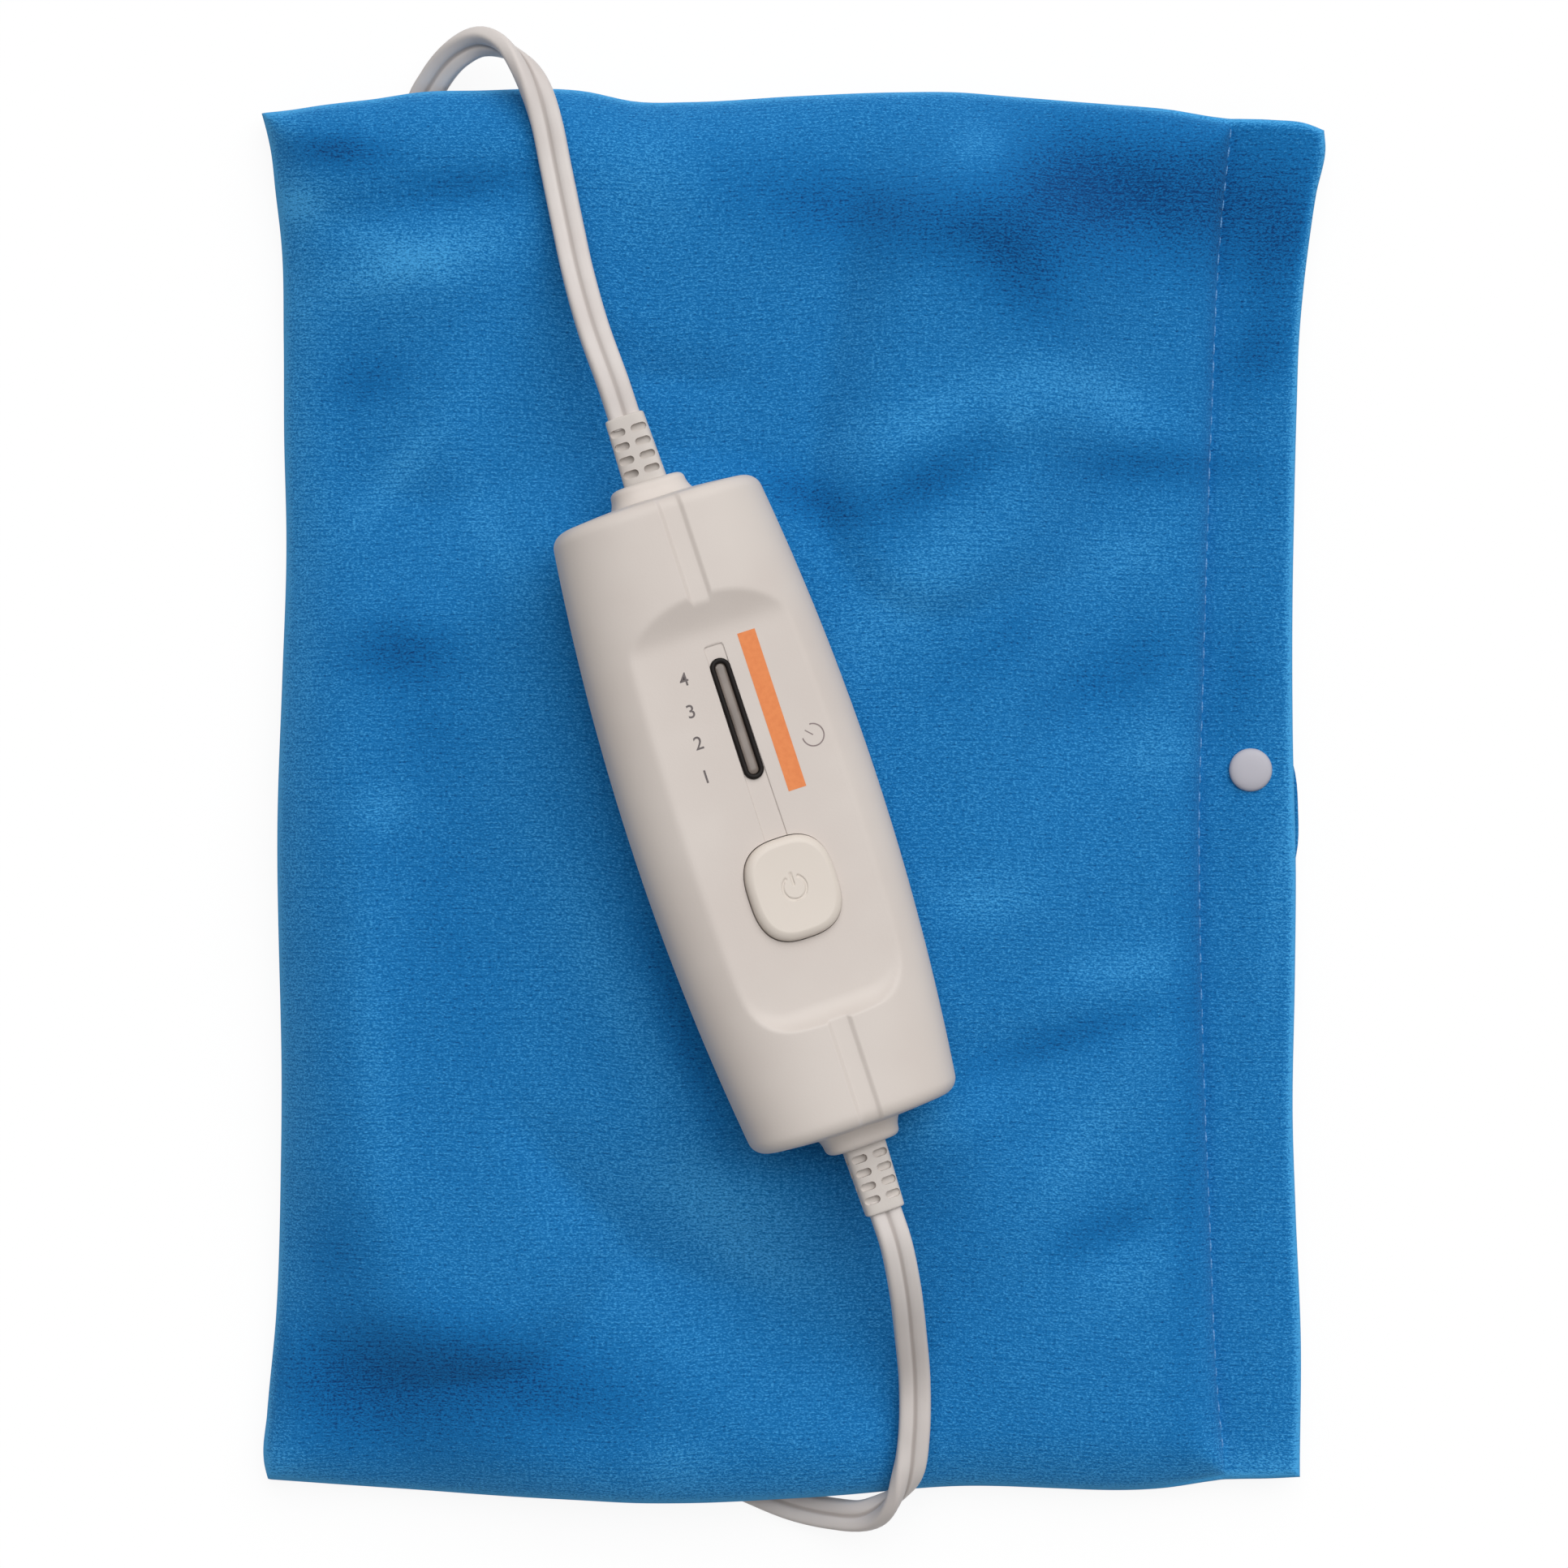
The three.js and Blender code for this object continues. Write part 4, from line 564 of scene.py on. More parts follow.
# %% [markdown]
# ## The cover's outline and height
# The cover is an envelope: closed on three sides, open at the right behind a doubled hem. Its outline was
# measured on the photograph, side by side, as a few knots with a smooth curve through them. Its height is
# what lies in and under it: the pad's own thickness, rounded off towards the edges, the hump over the cord
# that is put away below, and the soft folds that the photograph shows. One height function serves every
# layer, so no layer can cut through the next.

# %% Outline
LEFT_SIDE = [
    (152.4, -119.1), (150, -118.4), (145, -117.2), (134.1, -115.9), (123.2, -114.7), (101, -114.2),
    (79.6, -114.1), (57.8, -113.6), (25, -114.3), (-7.7, -115.2), (-40.4, -114.9), (-62.2, -114.5),
    (-95, -115), (-116.8, -115.9), (-138.6, -117.9), (-149.5, -118.6), (-153.4, -117.7),
]
RIGHT_SIDE = [
    (147.8, 118.3), (144.4, 118.6), (133.5, 116.5), (122.7, 114.9), (111.8, 113.6), (100.9, 112.7),
    (86.5, 112.2), (57.5, 111.5), (46.2, 111.3), (14.1, 111.3), (-18.5, 112), (-40.2, 111.8),
    (-72.8, 111.3), (-94.5, 112), (-121.7, 113.1), (-148.8, 112.9),
]
HEAD_END = [
    (-119.1, 152.2), (-112, 152.7), (-105.9, 153.4), (-94.1, 154.6), (-82.3, 156.3), (-70.5, 156.6),
    (-46.8, 157), (-35, 154.7), (-23.2, 154.7), (0.4, 156.1), (24.1, 157), (35.9, 157), (47.7, 156.1),
    (71.3, 154.1), (83.1, 152.9), (95, 150.9), (106.8, 150.3), (114.2, 149.5), (119.1, 147.6),
]
FOOT_END = [
    (-118.1, -153.4), (-94.1, -155.1), (-70.5, -156.6), (-46.8, -157.5), (-35, -158), (-23.2, -158),
    (0.4, -156.9), (12.1, -156.2), (35.9, -155), (83.1, -155), (95, -153.2), (106.8, -152.7),
    (114.2, -152.3),
]
STITCH_LINE = [
    (147.3, 97.3), (122, 94.8), (87.8, 93.2), (20.1, 91), (-4.3, 90.3), (-29.9, 90.5), (-97, 92.7),
    (-136, 94.6), (-148.8, 95.9),
]
print("knots:", [len(side) for side in (LEFT_SIDE, RIGHT_SIDE, HEAD_END, FOOT_END, STITCH_LINE)])

# %% Curves through the knots
FIRST_LEFT, FIRST_WIDTH = -114, 226
OUTLINE_PASSES = 3


def through(knots, at):
    """Between two knots, the cubic whose slopes at both are those of the knots on either side."""
    place, value = np.array(sorted(knots)).T
    slope = np.gradient(value, place)
    i = np.clip(np.searchsorted(place, at) - 1, 0, len(place) - 2)
    length = place[i + 1] - place[i]
    q = np.clip((at - place[i]) / length, 0, 1)
    rise = value[i + 1] - value[i]
    start, stop = slope[i] * length, slope[i + 1] * length
    return value[i] + start * q + (3 * rise - 2 * start - stop) * q**2 + (start + stop - 2 * rise) * q**3


def cover_place(u, v):
    """Shares of the width and length, 0 to 1, as x between the two sides and y between the two ends."""
    x = FIRST_LEFT + FIRST_WIDTH * u
    for _ in range(OUTLINE_PASSES):
        y = through(FOOT_END, x) * (1 - v) + through(HEAD_END, x) * v
        x = through(LEFT_SIDE, y) * (1 - u) + through(RIGHT_SIDE, y) * u
    return x, y


def edge_distances(x, y):
    """Distances to the left and right sides, the head and foot ends, and the stitching."""
    sides = x - through(LEFT_SIDE, y), through(RIGHT_SIDE, y) - x
    ends = through(HEAD_END, x) - y, y - through(FOOT_END, x)
    return (*sides, *ends, through(STITCH_LINE, y) - x)


corner_x, corner_y = cover_place(np.array([0.0, 1.0, 0.0, 1.0]), np.array([0.0, 0.0, 1.0, 1.0]))
print("cover corners, mm:", np.round(np.column_stack([corner_x, corner_y]), 1).tolist())

# %% Height of what lies under the cover
LEAD_HUMP, COIL_HUMP, PLUG_HUMP = 5.1, 9.6, 11.8
HUMPS = [
    (PAD_LEAD_UNDER + [(-60, 110)], LEAD_HUMP), (MAINS_LEAD_UNDER, LEAD_HUMP),
    ([(-70, -102), (-79, -78), (-80, -8)], COIL_HUMP), ([(26, -8), (31, 60)], COIL_HUMP),
    ([(31, 60), (39.99, 111)], PLUG_HUMP),
]
HUMP_NEAR, HUMP_FALL = 12, 32
COIL_NEAR, COIL_FALL = 62.5, 45


def fade(distance, near, run):
    """1 up to a near distance, then half a cosine down to 0 over the run beyond it."""
    return 1 - ease((distance - near) / run)


def away(x, y, path):
    """Distance to a path of straight stretches: to the nearest point of each, and the least of those."""
    nearest = np.full(x.shape, np.inf)
    for (ax, ay), (bx, by) in zip(path, path[1:]):
        length = (bx - ax) ** 2 + (by - ay) ** 2
        share = np.clip(((x - ax) * (bx - ax) + (y - ay) * (by - ay)) / length, 0, 1)
        nearest = np.minimum(nearest, np.hypot(x - ax - share * (bx - ax), y - ay - share * (by - ay)))
    return nearest


def drape_lift(x, y):
    """The highest of the humps: full height near the cord, half a cosine down to the floor round it."""
    lift = COIL_HUMP * fade(np.hypot(x - COIL_CENTRE[0], y - COIL_CENTRE[1]), COIL_NEAR, COIL_FALL)
    for path, height in HUMPS:
        lift = np.maximum(lift, height * fade(away(x, y, path), HUMP_NEAR, HUMP_FALL))
    return lift


print("lift over the coil's middle, mm:", float(drape_lift(*COIL_CENTRE[:, None])[0]))

# %% Filling
EDGE_ROUND = 22.0
MOUTH_SHARE = 0.3208
MOUTH_REACH = 45.0
END_BLUR, SIDE_BLUR, MOUTH_BLUR = 0.1, 0.22, 0.12


def blunt_min(first, second, blur):
    """The smaller of two values, rounded off where they are closer than blur."""
    share = np.clip(0.5 + 0.5 * (second - first) / blur, 0, 1)
    return second + (first - second) * share - blur * share * (1 - share)


def rounded_ramp(distance, width):
    """A quarter circle: 0 at the edge, 1 from width inwards."""
    return np.sqrt(1 - (1 - np.clip(distance / width, 0, 1)) ** 2)


def filling(x, y, inset=0.0):
    """Share of the pad's full thickness: the least of the ramps from each edge, held open at the mouth."""
    left, _, head, foot, stitch = edge_distances(x, y)
    width = EDGE_ROUND - inset
    ends = blunt_min(rounded_ramp(head - inset, width), rounded_ramp(foot - inset, width), END_BLUR)
    share = blunt_min(rounded_ramp(left - inset, width), ends, SIDE_BLUR)
    mouth = MOUTH_SHARE + (1 - MOUTH_SHARE) * rounded_ramp(stitch - inset, width)
    share = blunt_min(share, mouth, MOUTH_BLUR)
    open_end = MOUTH_SHARE * ease((MOUTH_REACH - stitch) / MOUTH_REACH)
    return np.maximum(np.clip(share, 0, 1), open_end)


print("filling at the middle:", round(float(filling(np.zeros(1), np.zeros(1))[0]), 3))

# %% The nest round the control
NEST = [(-65, 0), (-50, 1.5), (-36, 4), (-28, 6), (-20, 7.3), (-12.6, 4), (-3, 1.3), (5, 0), (20, 0)]
NEST_FOOT = [(-145, 0), (-118, 2), (-100, 5.2), (-89, 7.2), (-80, 7.4), (-72, 4.2), (-65, 1.2), (-55, 0)]
NEST_HALF_LENGTH, NEST_END_FALL = 50, 55
NEST_HALF_WIDTH, NEST_SIDE_FALL = 14, 38
NEST_BLUR = 3


def along_across(x, y, place, heading):
    """How far a place lies along a heading from a given spot, and how far to the left of it."""
    east, north = x - place[0], y - place[1]
    return east * np.cos(heading) + north * np.sin(heading), north * np.cos(heading) - east * np.sin(heading)


def control_nest(x, y):
    """Cloth pushed up by the control: a profile across its raised side and one along its foot, faded out."""
    across, along = along_across(x, y, CONTROL_PLACE, CONTROL_HEADING)
    side = through(NEST, across) * fade(np.abs(along), NEST_HALF_LENGTH, NEST_END_FALL)
    foot = through(NEST_FOOT, along) * fade(np.abs(across), NEST_HALF_WIDTH, NEST_SIDE_FALL)
    return -blunt_min(-side, -foot, NEST_BLUR)


sample = np.meshgrid(np.linspace(-80, 80, 40), np.linspace(-130, 130, 60))
print("nest's height, mm:", round(float(control_nest(*sample).max()), 2))

# %% Folds
FOLDS = [
    (-88, 129, 8, 44, 6, -1.6), (-84, 112, 14, 34, 8, 1.2), (30, 77, 22, 34, 7, 1.5),
    (70, 80, -10, 32, 7, 1.5), (62, -45, 16, 34, 6, 1.1), (74, -98, 26, 24, 6, -0.9),
    (-86, 38, 2, 22, 8, 1.2), (-86, 68, 44, 36, 7, 0.7), (-93, -45, -85, 80, 7, 0.8),
    (-72, -122, -16, 60, 9, 1.3), (62, -74, 55, 36, 7, 0.7), (34, 46, 45, 44, 9, 0.7),
    (62, 124, -34, 50, 9, 1.2), (18, 124, 8, 50, 8, 0.7), (-38, -106, -55, 50, 10, 0.25),
]
WAVES = 14
WAVE_SEED = 11
WAVE_LENGTHS = (34, 105)
WAVE_PHASE = 6.3
WAVE_STEEPNESS = 0.0016
FOLD_SHARE = 0.8
FOLD_EDGE = 14


def bell(distance, width):
    """A bell curve: e to the power of minus the square of distance over width."""
    return np.exp(-((distance / width) ** 2))


def cloth_folds(x, y):
    """Long soft waves of many directions, and single folds: a bell curve across, a wider one along."""
    random = np.random.default_rng(WAVE_SEED)
    height = np.zeros(x.shape)
    for _ in range(WAVES):
        heading = random.uniform(0, np.pi)
        wavelength = random.uniform(*WAVE_LENGTHS)
        phase = random.uniform(0, WAVE_PHASE)
        along = x * np.cos(heading) + y * np.sin(heading)
        height += WAVE_STEEPNESS * wavelength * np.cos(2 * np.pi * along / wavelength + phase)
    for fold_x, fold_y, heading, length, width, rise in FOLDS:
        along, across = along_across(x, y, (fold_x, fold_y), np.radians(heading))
        height += rise * bell(along, length) ** 2 * bell(across, width)
    left, _, head, foot, stitch = edge_distances(x, y)
    edge = np.minimum.reduce([left, stitch, head, foot])
    return control_nest(x, y) + FOLD_SHARE * height * np.clip(edge / FOLD_EDGE, 0, 1) ** 0.5


print("folds, mm:", np.round([cloth_folds(*sample).min(), cloth_folds(*sample).max()], 2).tolist())

# %% [markdown]
# ## The cover's front and back
# Each is one closed cloth: an upper and a lower surface that meet round the edge in a soft lip. The front
# steps up at the stitching into the doubled hem. A cloth simulation was left out: the folds on the photograph
# lie in known places, and a height function puts them there the same way on every run.

# %% Cloth layers
def crowded(count, ends=0.78):
    """Shares from 0 to 1, closer together at both ends."""
    even = np.linspace(0, 1, count)
    return even - ends * np.sin(2 * np.pi * even) / (2 * np.pi)


def along_surface(points):
    """The cloth's own map: millimetres along its rows and its columns, counted from the middle."""
    across = np.cumsum(np.linalg.norm(np.diff(points, axis=1, prepend=points[:, :1]), axis=2), axis=1)
    along = np.cumsum(np.linalg.norm(np.diff(points, axis=0, prepend=points[:1]), axis=2), axis=0)
    across -= across[:, across.shape[1] // 2][:, None]
    along -= along[along.shape[0] // 2][None]
    return np.stack([across, along], axis=-1)


def two_sided(name, x, y, middle, half):
    """An upper and a lower grid, half a thickness above and below the middle, joined all round."""
    upper = np.stack([x, y, middle + half], axis=-1)
    lower = np.stack([x, y, middle - half], axis=-1)
    pattern = along_surface(upper)
    faces = grid_faces(*x.shape)
    index = np.arange(x.size).reshape(x.shape)
    rim = np.concatenate([index[0], index[1:, -1], index[-1, -2::-1], index[-2::-1, 0]])
    wall = np.stack([rim[:-1], rim[1:], rim[1:] + x.size, rim[:-1] + x.size], axis=-1)
    faces = np.concatenate([faces, faces[:, ::-1] + x.size, wall])
    return build_mesh(name, np.stack([upper, lower]), faces, np.stack([pattern, pattern]), crease=75)


COLUMNS, ROWS = 168, 236
STITCH_COLUMNS = np.linspace(0.895, 0.925, 22)

columns = np.sort(np.concatenate([crowded(COLUMNS), STITCH_COLUMNS]))
u, v = np.meshgrid(columns, crowded(ROWS))
cloth_x, cloth_y = cover_place(u, v)
print("cover grid:", cloth_x.shape)

# %% Strokes
# x, y, heading, length, width and strength of each patch of paler or darker pile. The patches are partly
# stroked pile and partly painted light and shade where the folds and the control shade the cloth: the dark
# one at (-24.5, -51) is a painted shadow along the control's raised side, and the pale ones at (-15, -90) and
# (-8, -104) are painted light over its shadow below the foot.
STROKES = [
    (-84, 117, 16, 20, 6, 1.1), (-110, 131, -10, 6, 4, 1), (-95, 123, -22, 14, 4, 0.5),
    (-87, 71, 47, 18, 4, 0.6), (-66, 57, -65, 14, 4, 0.45), (26, 82, 24, 18, 6, 0.55),
    (58, 90, -5, 15, 7, 0.6), (72, 86, -30, 10, 6, 0.4), (49, 82, 0, 4, 4, 0.5), (27, 45, 45, 25, 8, 0.55),
    (72, 52, 25, 12, 6, 0.5), (81, 9, 0, 10, 7, 0.5), (42, -23, 0, 12, 6, 0.6), (72, -39, 15, 12, 5, 0.6),
    (65, -76, 55, 20, 6, 0.45), (74, -108, 35, 12, 7, 0.3), (-92.5, -58, -84, 40, 4.5, 0.35),
    (-91, -3, 0, 7, 5, 0.5), (-37, -103, -55, 30, 10, 0.2), (-25, -148, 0, 8, 6, 0.5),
    (-32, 136, 0, 14, 10, 0.5), (42, 143, 0, 6, 6, 0.8), (-101, 142, -5, 12, 4, -1.6),
    (-73, 134, 8, 15, 4, -0.9), (88, 133, -10, 36, 16, -1.8), (18, 128, -12, 34, 9, -1.3),
    (50, 114, -50, 16, 9, -1.1), (103, 97, 15, 12, 6, -0.7), (4, 65, -27, 12, 5, -1.4),
    (29, 68, 25, 14, 5, -1.2), (80, 73, 0, 20, 4.5, -1), (72, 27, 25, 18, 7, -0.7),
    (44, 32, 35, 14, 5, -0.45), (60, -54, 17, 20, 3.5, -0.9), (69, -96.5, 25, 13, 4.5, -0.7),
    (36, -108, -80, 28, 9, -0.2),
    (-86, 31, 0, 12, 7, -1.3), (-79, 14, 0, 8, 8, -0.5), (-94, 91, 20, 10, 6, -0.8),
    (-75, -33, -85, 35, 12, -0.35), (-97, -131, -8, 31, 14, -1.6), (-60, -128, -15, 28, 10, -1.1),
    (-102, -101, 0, 9, 9, -0.6), (88, -75, 89, 75, 4, -0.55), (108, -20, 85, 26, 2.5, 0.5),
    (-15, -90, -25, 22, 10, 0.9), (29, -73, 18, 8, 5, 0.6), (-41, -40, -66, 34, 6, 0.4),
    (-24.5, -51, -70, 26, 3.5, -1), (106, 112, 80, 22, 6, -0.7), (60, 132, -20, 16, 12, -1.1),
    (-8, -104, -30, 18, 6, 0.5), (99, 24, 80, 14, 6, -0.5),
]
print("strokes:", len(STROKES))

# %% Stroked pile and painted light and shade
STROKE_TONE = 0.28
# Painted light: the cloth is made paler along its foot and left edges, where it turns down away from the
# lamp, and the pale fringe at every cut edge is a painted highlight.
FOOT_EDGE_LIGHT, FOOT_EDGE_LIGHT_WIDTH = 0.22, 7
LEFT_EDGE_LIGHT, LEFT_EDGE_LIGHT_WIDTH = 0.19, 9
FRINGE, FRINGE_WIDTH = 0.7, 1.4


def pile_and_painted_light(x, y):
    """Strokes, each a bell curve along and across, partly stroked pile and partly painted light and shade;
    painted light along the foot and left edges, where the cloth turns down away from the lamp, and a painted
    pale fringe at its cut edges.
    """
    tone = np.zeros(x.shape)
    for stroke_x, stroke_y, heading, length, width, strength in STROKES:
        along, across = along_across(x, y, (stroke_x, stroke_y), np.radians(heading))
        tone += STROKE_TONE * strength * bell(along, length) * bell(across, width)
    left, right, head, foot, _ = edge_distances(x, y)
    edge_light = FOOT_EDGE_LIGHT * bell(foot, FOOT_EDGE_LIGHT_WIDTH) + LEFT_EDGE_LIGHT * bell(left, LEFT_EDGE_LIGHT_WIDTH)
    return tone + edge_light + FRINGE * bell(np.minimum.reduce([left, right, head, foot]), FRINGE_WIDTH)


def keep_pile_and_painted_light(mesh):
    """Keeps the tone of stroked pile and painted light and shade at every point of the cloth, for the finish
    to read.
    """
    place = np.empty(len(mesh.vertices) * 3, dtype=np.float32)
    mesh.vertices.foreach_get("co", place)
    x, y, _ = place.reshape(-1, 3).T / MM
    tone = pile_and_painted_light(x.astype(float), y.astype(float))
    mesh.attributes.new(PILE_AND_LIGHT, "FLOAT", "POINT").data.foreach_set("value", tone.astype(np.float32))
    return tone


print("pile tone at the middle:", round(float(pile_and_painted_light(np.zeros(1), np.zeros(1))[0]), 3))

# %% Front cloth
CLOTH = 1.6
COVER_ROOM = 10.6
EDGE_CLOSE = 2.6
LIP_SHARE = 0.08
HEM_STEP = 0.7
HEM_RUN = 14.0
HEM_EXTRA = 0.4
STITCH_SINK, STITCH_SINK_WIDTH = 0.55, 1.5


def lip(x, y):
    """Share of the cloth's thickness near its edge: a quarter circle up from nearly nothing."""
    left, right, head, foot, _ = edge_distances(x, y)
    nearest = np.minimum.reduce([left, right, head, foot])
    return np.sqrt(LIP_SHARE**2 + (1 - LIP_SHARE**2) * rounded_ramp(nearest, EDGE_CLOSE) ** 2)


def hem_thickness(x, y):
    """How far past the stitching, the share of the hem's rise there, and half the cloth's thickness."""
    past_stitch = -edge_distances(x, y)[-1]
    on_hem = ease(past_stitch / HEM_RUN)
    return past_stitch, on_hem, (CLOTH / 2 + HEM_EXTRA * on_hem) * lip(x, y)


def front_layer(x, y):
    """Middle height and half thickness: what lies below, filling, the hem's step and the folds, added up."""
    past_stitch, on_hem, half = hem_thickness(x, y)
    middle = drape_lift(x, y) + CLOTH + CLOTH / 2 * lip(x, y) + COVER_ROOM * filling(x, y) + HEM_STEP * on_hem
    return middle + cloth_folds(x, y) - STITCH_SINK * bell(past_stitch, STITCH_SINK_WIDTH), half


front_middle, front_half = front_layer(cloth_x, cloth_y)
front_mesh = two_sided("cover_front_cloth", cloth_x, cloth_y, front_middle, front_half)
front_pile_and_light = keep_pile_and_painted_light(front_mesh)
front_cloth = make_piece("cover_front_cloth", front_mesh, blue_velour, body=None)
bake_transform(front_cloth)
stand_for(front_cloth, "cover_cloth", "cover_front", "front_hem")
print("pile tones:", np.round([front_pile_and_light.min(), front_pile_and_light.max()], 2).tolist())
print("front top, mm:", round(float((front_middle + front_half).max()), 1))

# %% Back cloth
REAR_LIP, REAR_LIP_PLACE, REAR_LIP_HALF, REAR_LIP_RUN = 1.8, -4, 12, 18
BACK_INSET = 0.5
SNAP_PLACE = np.array([101.7, 5.3])
STUD_DENT, DENT_NEAR, DENT_RUN = 0.5, 5, 3

past_stitch, on_hem, back_half = hem_thickness(cloth_x, cloth_y)
back_middle = drape_lift(cloth_x, cloth_y) + CLOTH - CLOTH / 2 * lip(cloth_x, cloth_y) + HEM_EXTRA * on_hem
back_middle = np.maximum(back_middle, back_half)
rear_bulge = np.exp(-(((cloth_y - REAR_LIP_PLACE) / REAR_LIP_HALF) ** 4))
back_x = cloth_x + REAR_LIP * rear_bulge * ease(past_stitch / REAR_LIP_RUN) + BACK_INSET * (1 - 2 * u)
back_y = cloth_y + BACK_INSET * (1 - 2 * v)
dent = STUD_DENT / 2 * fade(np.hypot(back_x - SNAP_PLACE[0], back_y - SNAP_PLACE[1]), DENT_NEAR, DENT_RUN)
back_mesh = two_sided("cover_back_cloth", back_x, back_y, back_middle + dent, back_half - dent)
back_cloth = make_piece("cover_back_cloth", back_mesh, blue_velour)
stand_for(back_cloth, "cover_cloth", "cover_back", "rear_hem")

# %% [markdown]
# ## Inside the cover
# Through the open mouth one can look in on the pad itself: two skins of clear vinyl with felt between them,
# and the heating wire in the felt. They follow the same height function as the cover, each on a shorter grid,
# and so they stay between the cloths however the cover lies.

# %% Felt and clear vinyl
def felt_finish():
    """Matted fibres: pale and darker clouds crossed by fine streaks, quite dull."""
    material, shader, place = start_finish("matted_felt", {"Specular IOR Level": 0.1, "Sheen Weight": 0.2})
    clouds = noise(place, 220.0, 4.0, 0.7)
    fibres = noise(place, 1500.0, 3.0, 0.7)
    tone = clouds * 0.5 + fibres * 0.5
    spread(tone).mix(srgb(206, 200, 188), srgb(238, 234, 224)).feed(shader, "Base Color")
    (0.85 + fibres * 0.1).feed(shader, "Roughness")
    add_bump(shader, fibres, 0.0002, 0.6)
    return material


def skin_finish():
    """Milky vinyl film with a soft shine and shallow wrinkles."""
    material, shader, place = start_finish("vinyl_skin", {"Specular IOR Level": 0.5})
    wrinkles = noise(place, 90.0, 4.0, 0.6)
    spread(wrinkles).mix(srgb(205, 200, 184), srgb(224, 220, 206)).feed(shader, "Base Color")
    (0.28 + wrinkles * 0.2).feed(shader, "Roughness")
    add_bump(shader, wrinkles, 0.0006, 0.4)
    return material


felt = felt_finish()
vinyl_skin = skin_finish()
print("finishes:", felt.name, vinyl_skin.name)

# %% Pad layers
SKIN_INSET = 10.0
FELT_INSET = 18.0
SKIN_ROOM = 8.1
INNER_LAYERS = [
    ("skin_back", SKIN_INSET, 1.9, 0.8, False, vinyl_skin, "pad_skin"),
    ("felt_back", FELT_INSET, 3.0, 2.2, False, felt, "felt"),
    ("felt_front", FELT_INSET, 8.6, 2.2, True, felt, "felt"),
    ("skin_front", SKIN_INSET, 11.1, 0.8, True, vinyl_skin, "pad_skin"),
]
INNER_COLUMNS, INNER_ROWS, INNER_CROWDING = 64, 84, 0.5
INNER_RIGHT = 91.35
INNER_LEFT, CORNER_FLARE = 113, 5
INNER_REACH, END_BOW = 156, 4.5


def inner_place(inset):
    """A grid between the cover's sides and the stitching, drawn in by the layer's inset."""
    s, t = np.meshgrid(crowded(INNER_COLUMNS, INNER_CROWDING), crowded(INNER_ROWS, INNER_CROWDING))
    half_width = INNER_LEFT + CORNER_FLARE * (2 * t - 1) ** 4
    x = -half_width + inset + s * (INNER_RIGHT + half_width - 2 * inset)
    reach = INNER_REACH - END_BOW * (x / INNER_LEFT) ** 2 - inset
    return x, (2 * t - 1) * reach


def inner_layer(name, inset, offset, thick, falls, finish, slot):
    """A layer at its height above what lies below; the upper two also fold, and fall towards their edges."""
    x, y = inner_place(inset)
    middle = drape_lift(x, y) + offset + thick / 2
    if falls:
        middle = middle - SKIN_ROOM * (1 - np.minimum(filling(x, y, SKIN_INSET), 1)) + cloth_folds(x, y)
    mesh = two_sided(f"{name}_layer", x, y, middle, np.full(x.shape, thick / 2))
    layer = make_piece(f"{name}_layer", mesh, finish)
    stand_for(layer, slot, name)
    flat = ((INNER_RIGHT + INNER_LEFT - 2 * inset) * MM, (2 * INNER_REACH - 2 * inset) * MM)
    return layer


inner = [inner_layer(*facts) for facts in INNER_LAYERS]

# %% [markdown]
# ## Stitching and press stud
# A row of pale thread holds the hem. Each stitch is a small capsule that dips into the cloth at both ends.
# All of them are one mesh: one array holds every capsule's grid, and the quads of one are shifted along to
# serve them all. The press stud is a turned cap: a profile carried round its axis.

# %% Thread and cap finishes
def thread_finish():
    """Twisted thread: fine slanting bands of two tones."""
    material, shader, place = start_finish("hem_thread", {"Specular IOR Level": 0.25, "Sheen Weight": 0.15})
    bands = {"bands_direction": "DIAGONAL"}
    twist = place.node("ShaderNodeTexWave", bands, {"Vector": place, "Scale": 900.0}, out=1)
    spread(twist, 0.1, 0.9).mix(srgb(62, 128, 186), srgb(112, 164, 210)).feed(shader, "Base Color")
    (0.6 + twist * 0.2).feed(shader, "Roughness")
    return material


def moulded(name, dark, light, rough=0.38, grain=1500.0, depth=0.00003, specular=0.5):
    """Moulded plastic: faint flow clouds between two close tones, and a spark-eroded grain."""
    material, shader, place = start_finish(name, {"Specular IOR Level": specular})
    flow = noise(place, 26.0, 3.0, 0.55)
    pits = noise(place, grain, 2.0, 0.6)
    spread(flow).mix(dark, light).feed(shader, "Base Color")
    (rough + pits * 0.12).feed(shader, "Roughness")
    add_bump(shader, pits, depth, 0.5)
    return material


hem_thread = thread_finish()
snap_white = moulded("snap_white", srgb(168, 166, 175), srgb(178, 176, 184), 0.46, 900.0, 0.00001)
print("finishes:", hem_thread.name, snap_white.name)

# %% Stitching
STITCH_PITCH = 4.0
STITCH_LENGTH = 3.1
STITCH_ARCH, STITCH_BED = 0.25, 0.06
THREAD = 0.26
THREAD_RINGS, THREAD_SIDES = 7, 6
SEAM_FOOT, SEAM_HEAD = (94.0, 3), (95.0, -5)


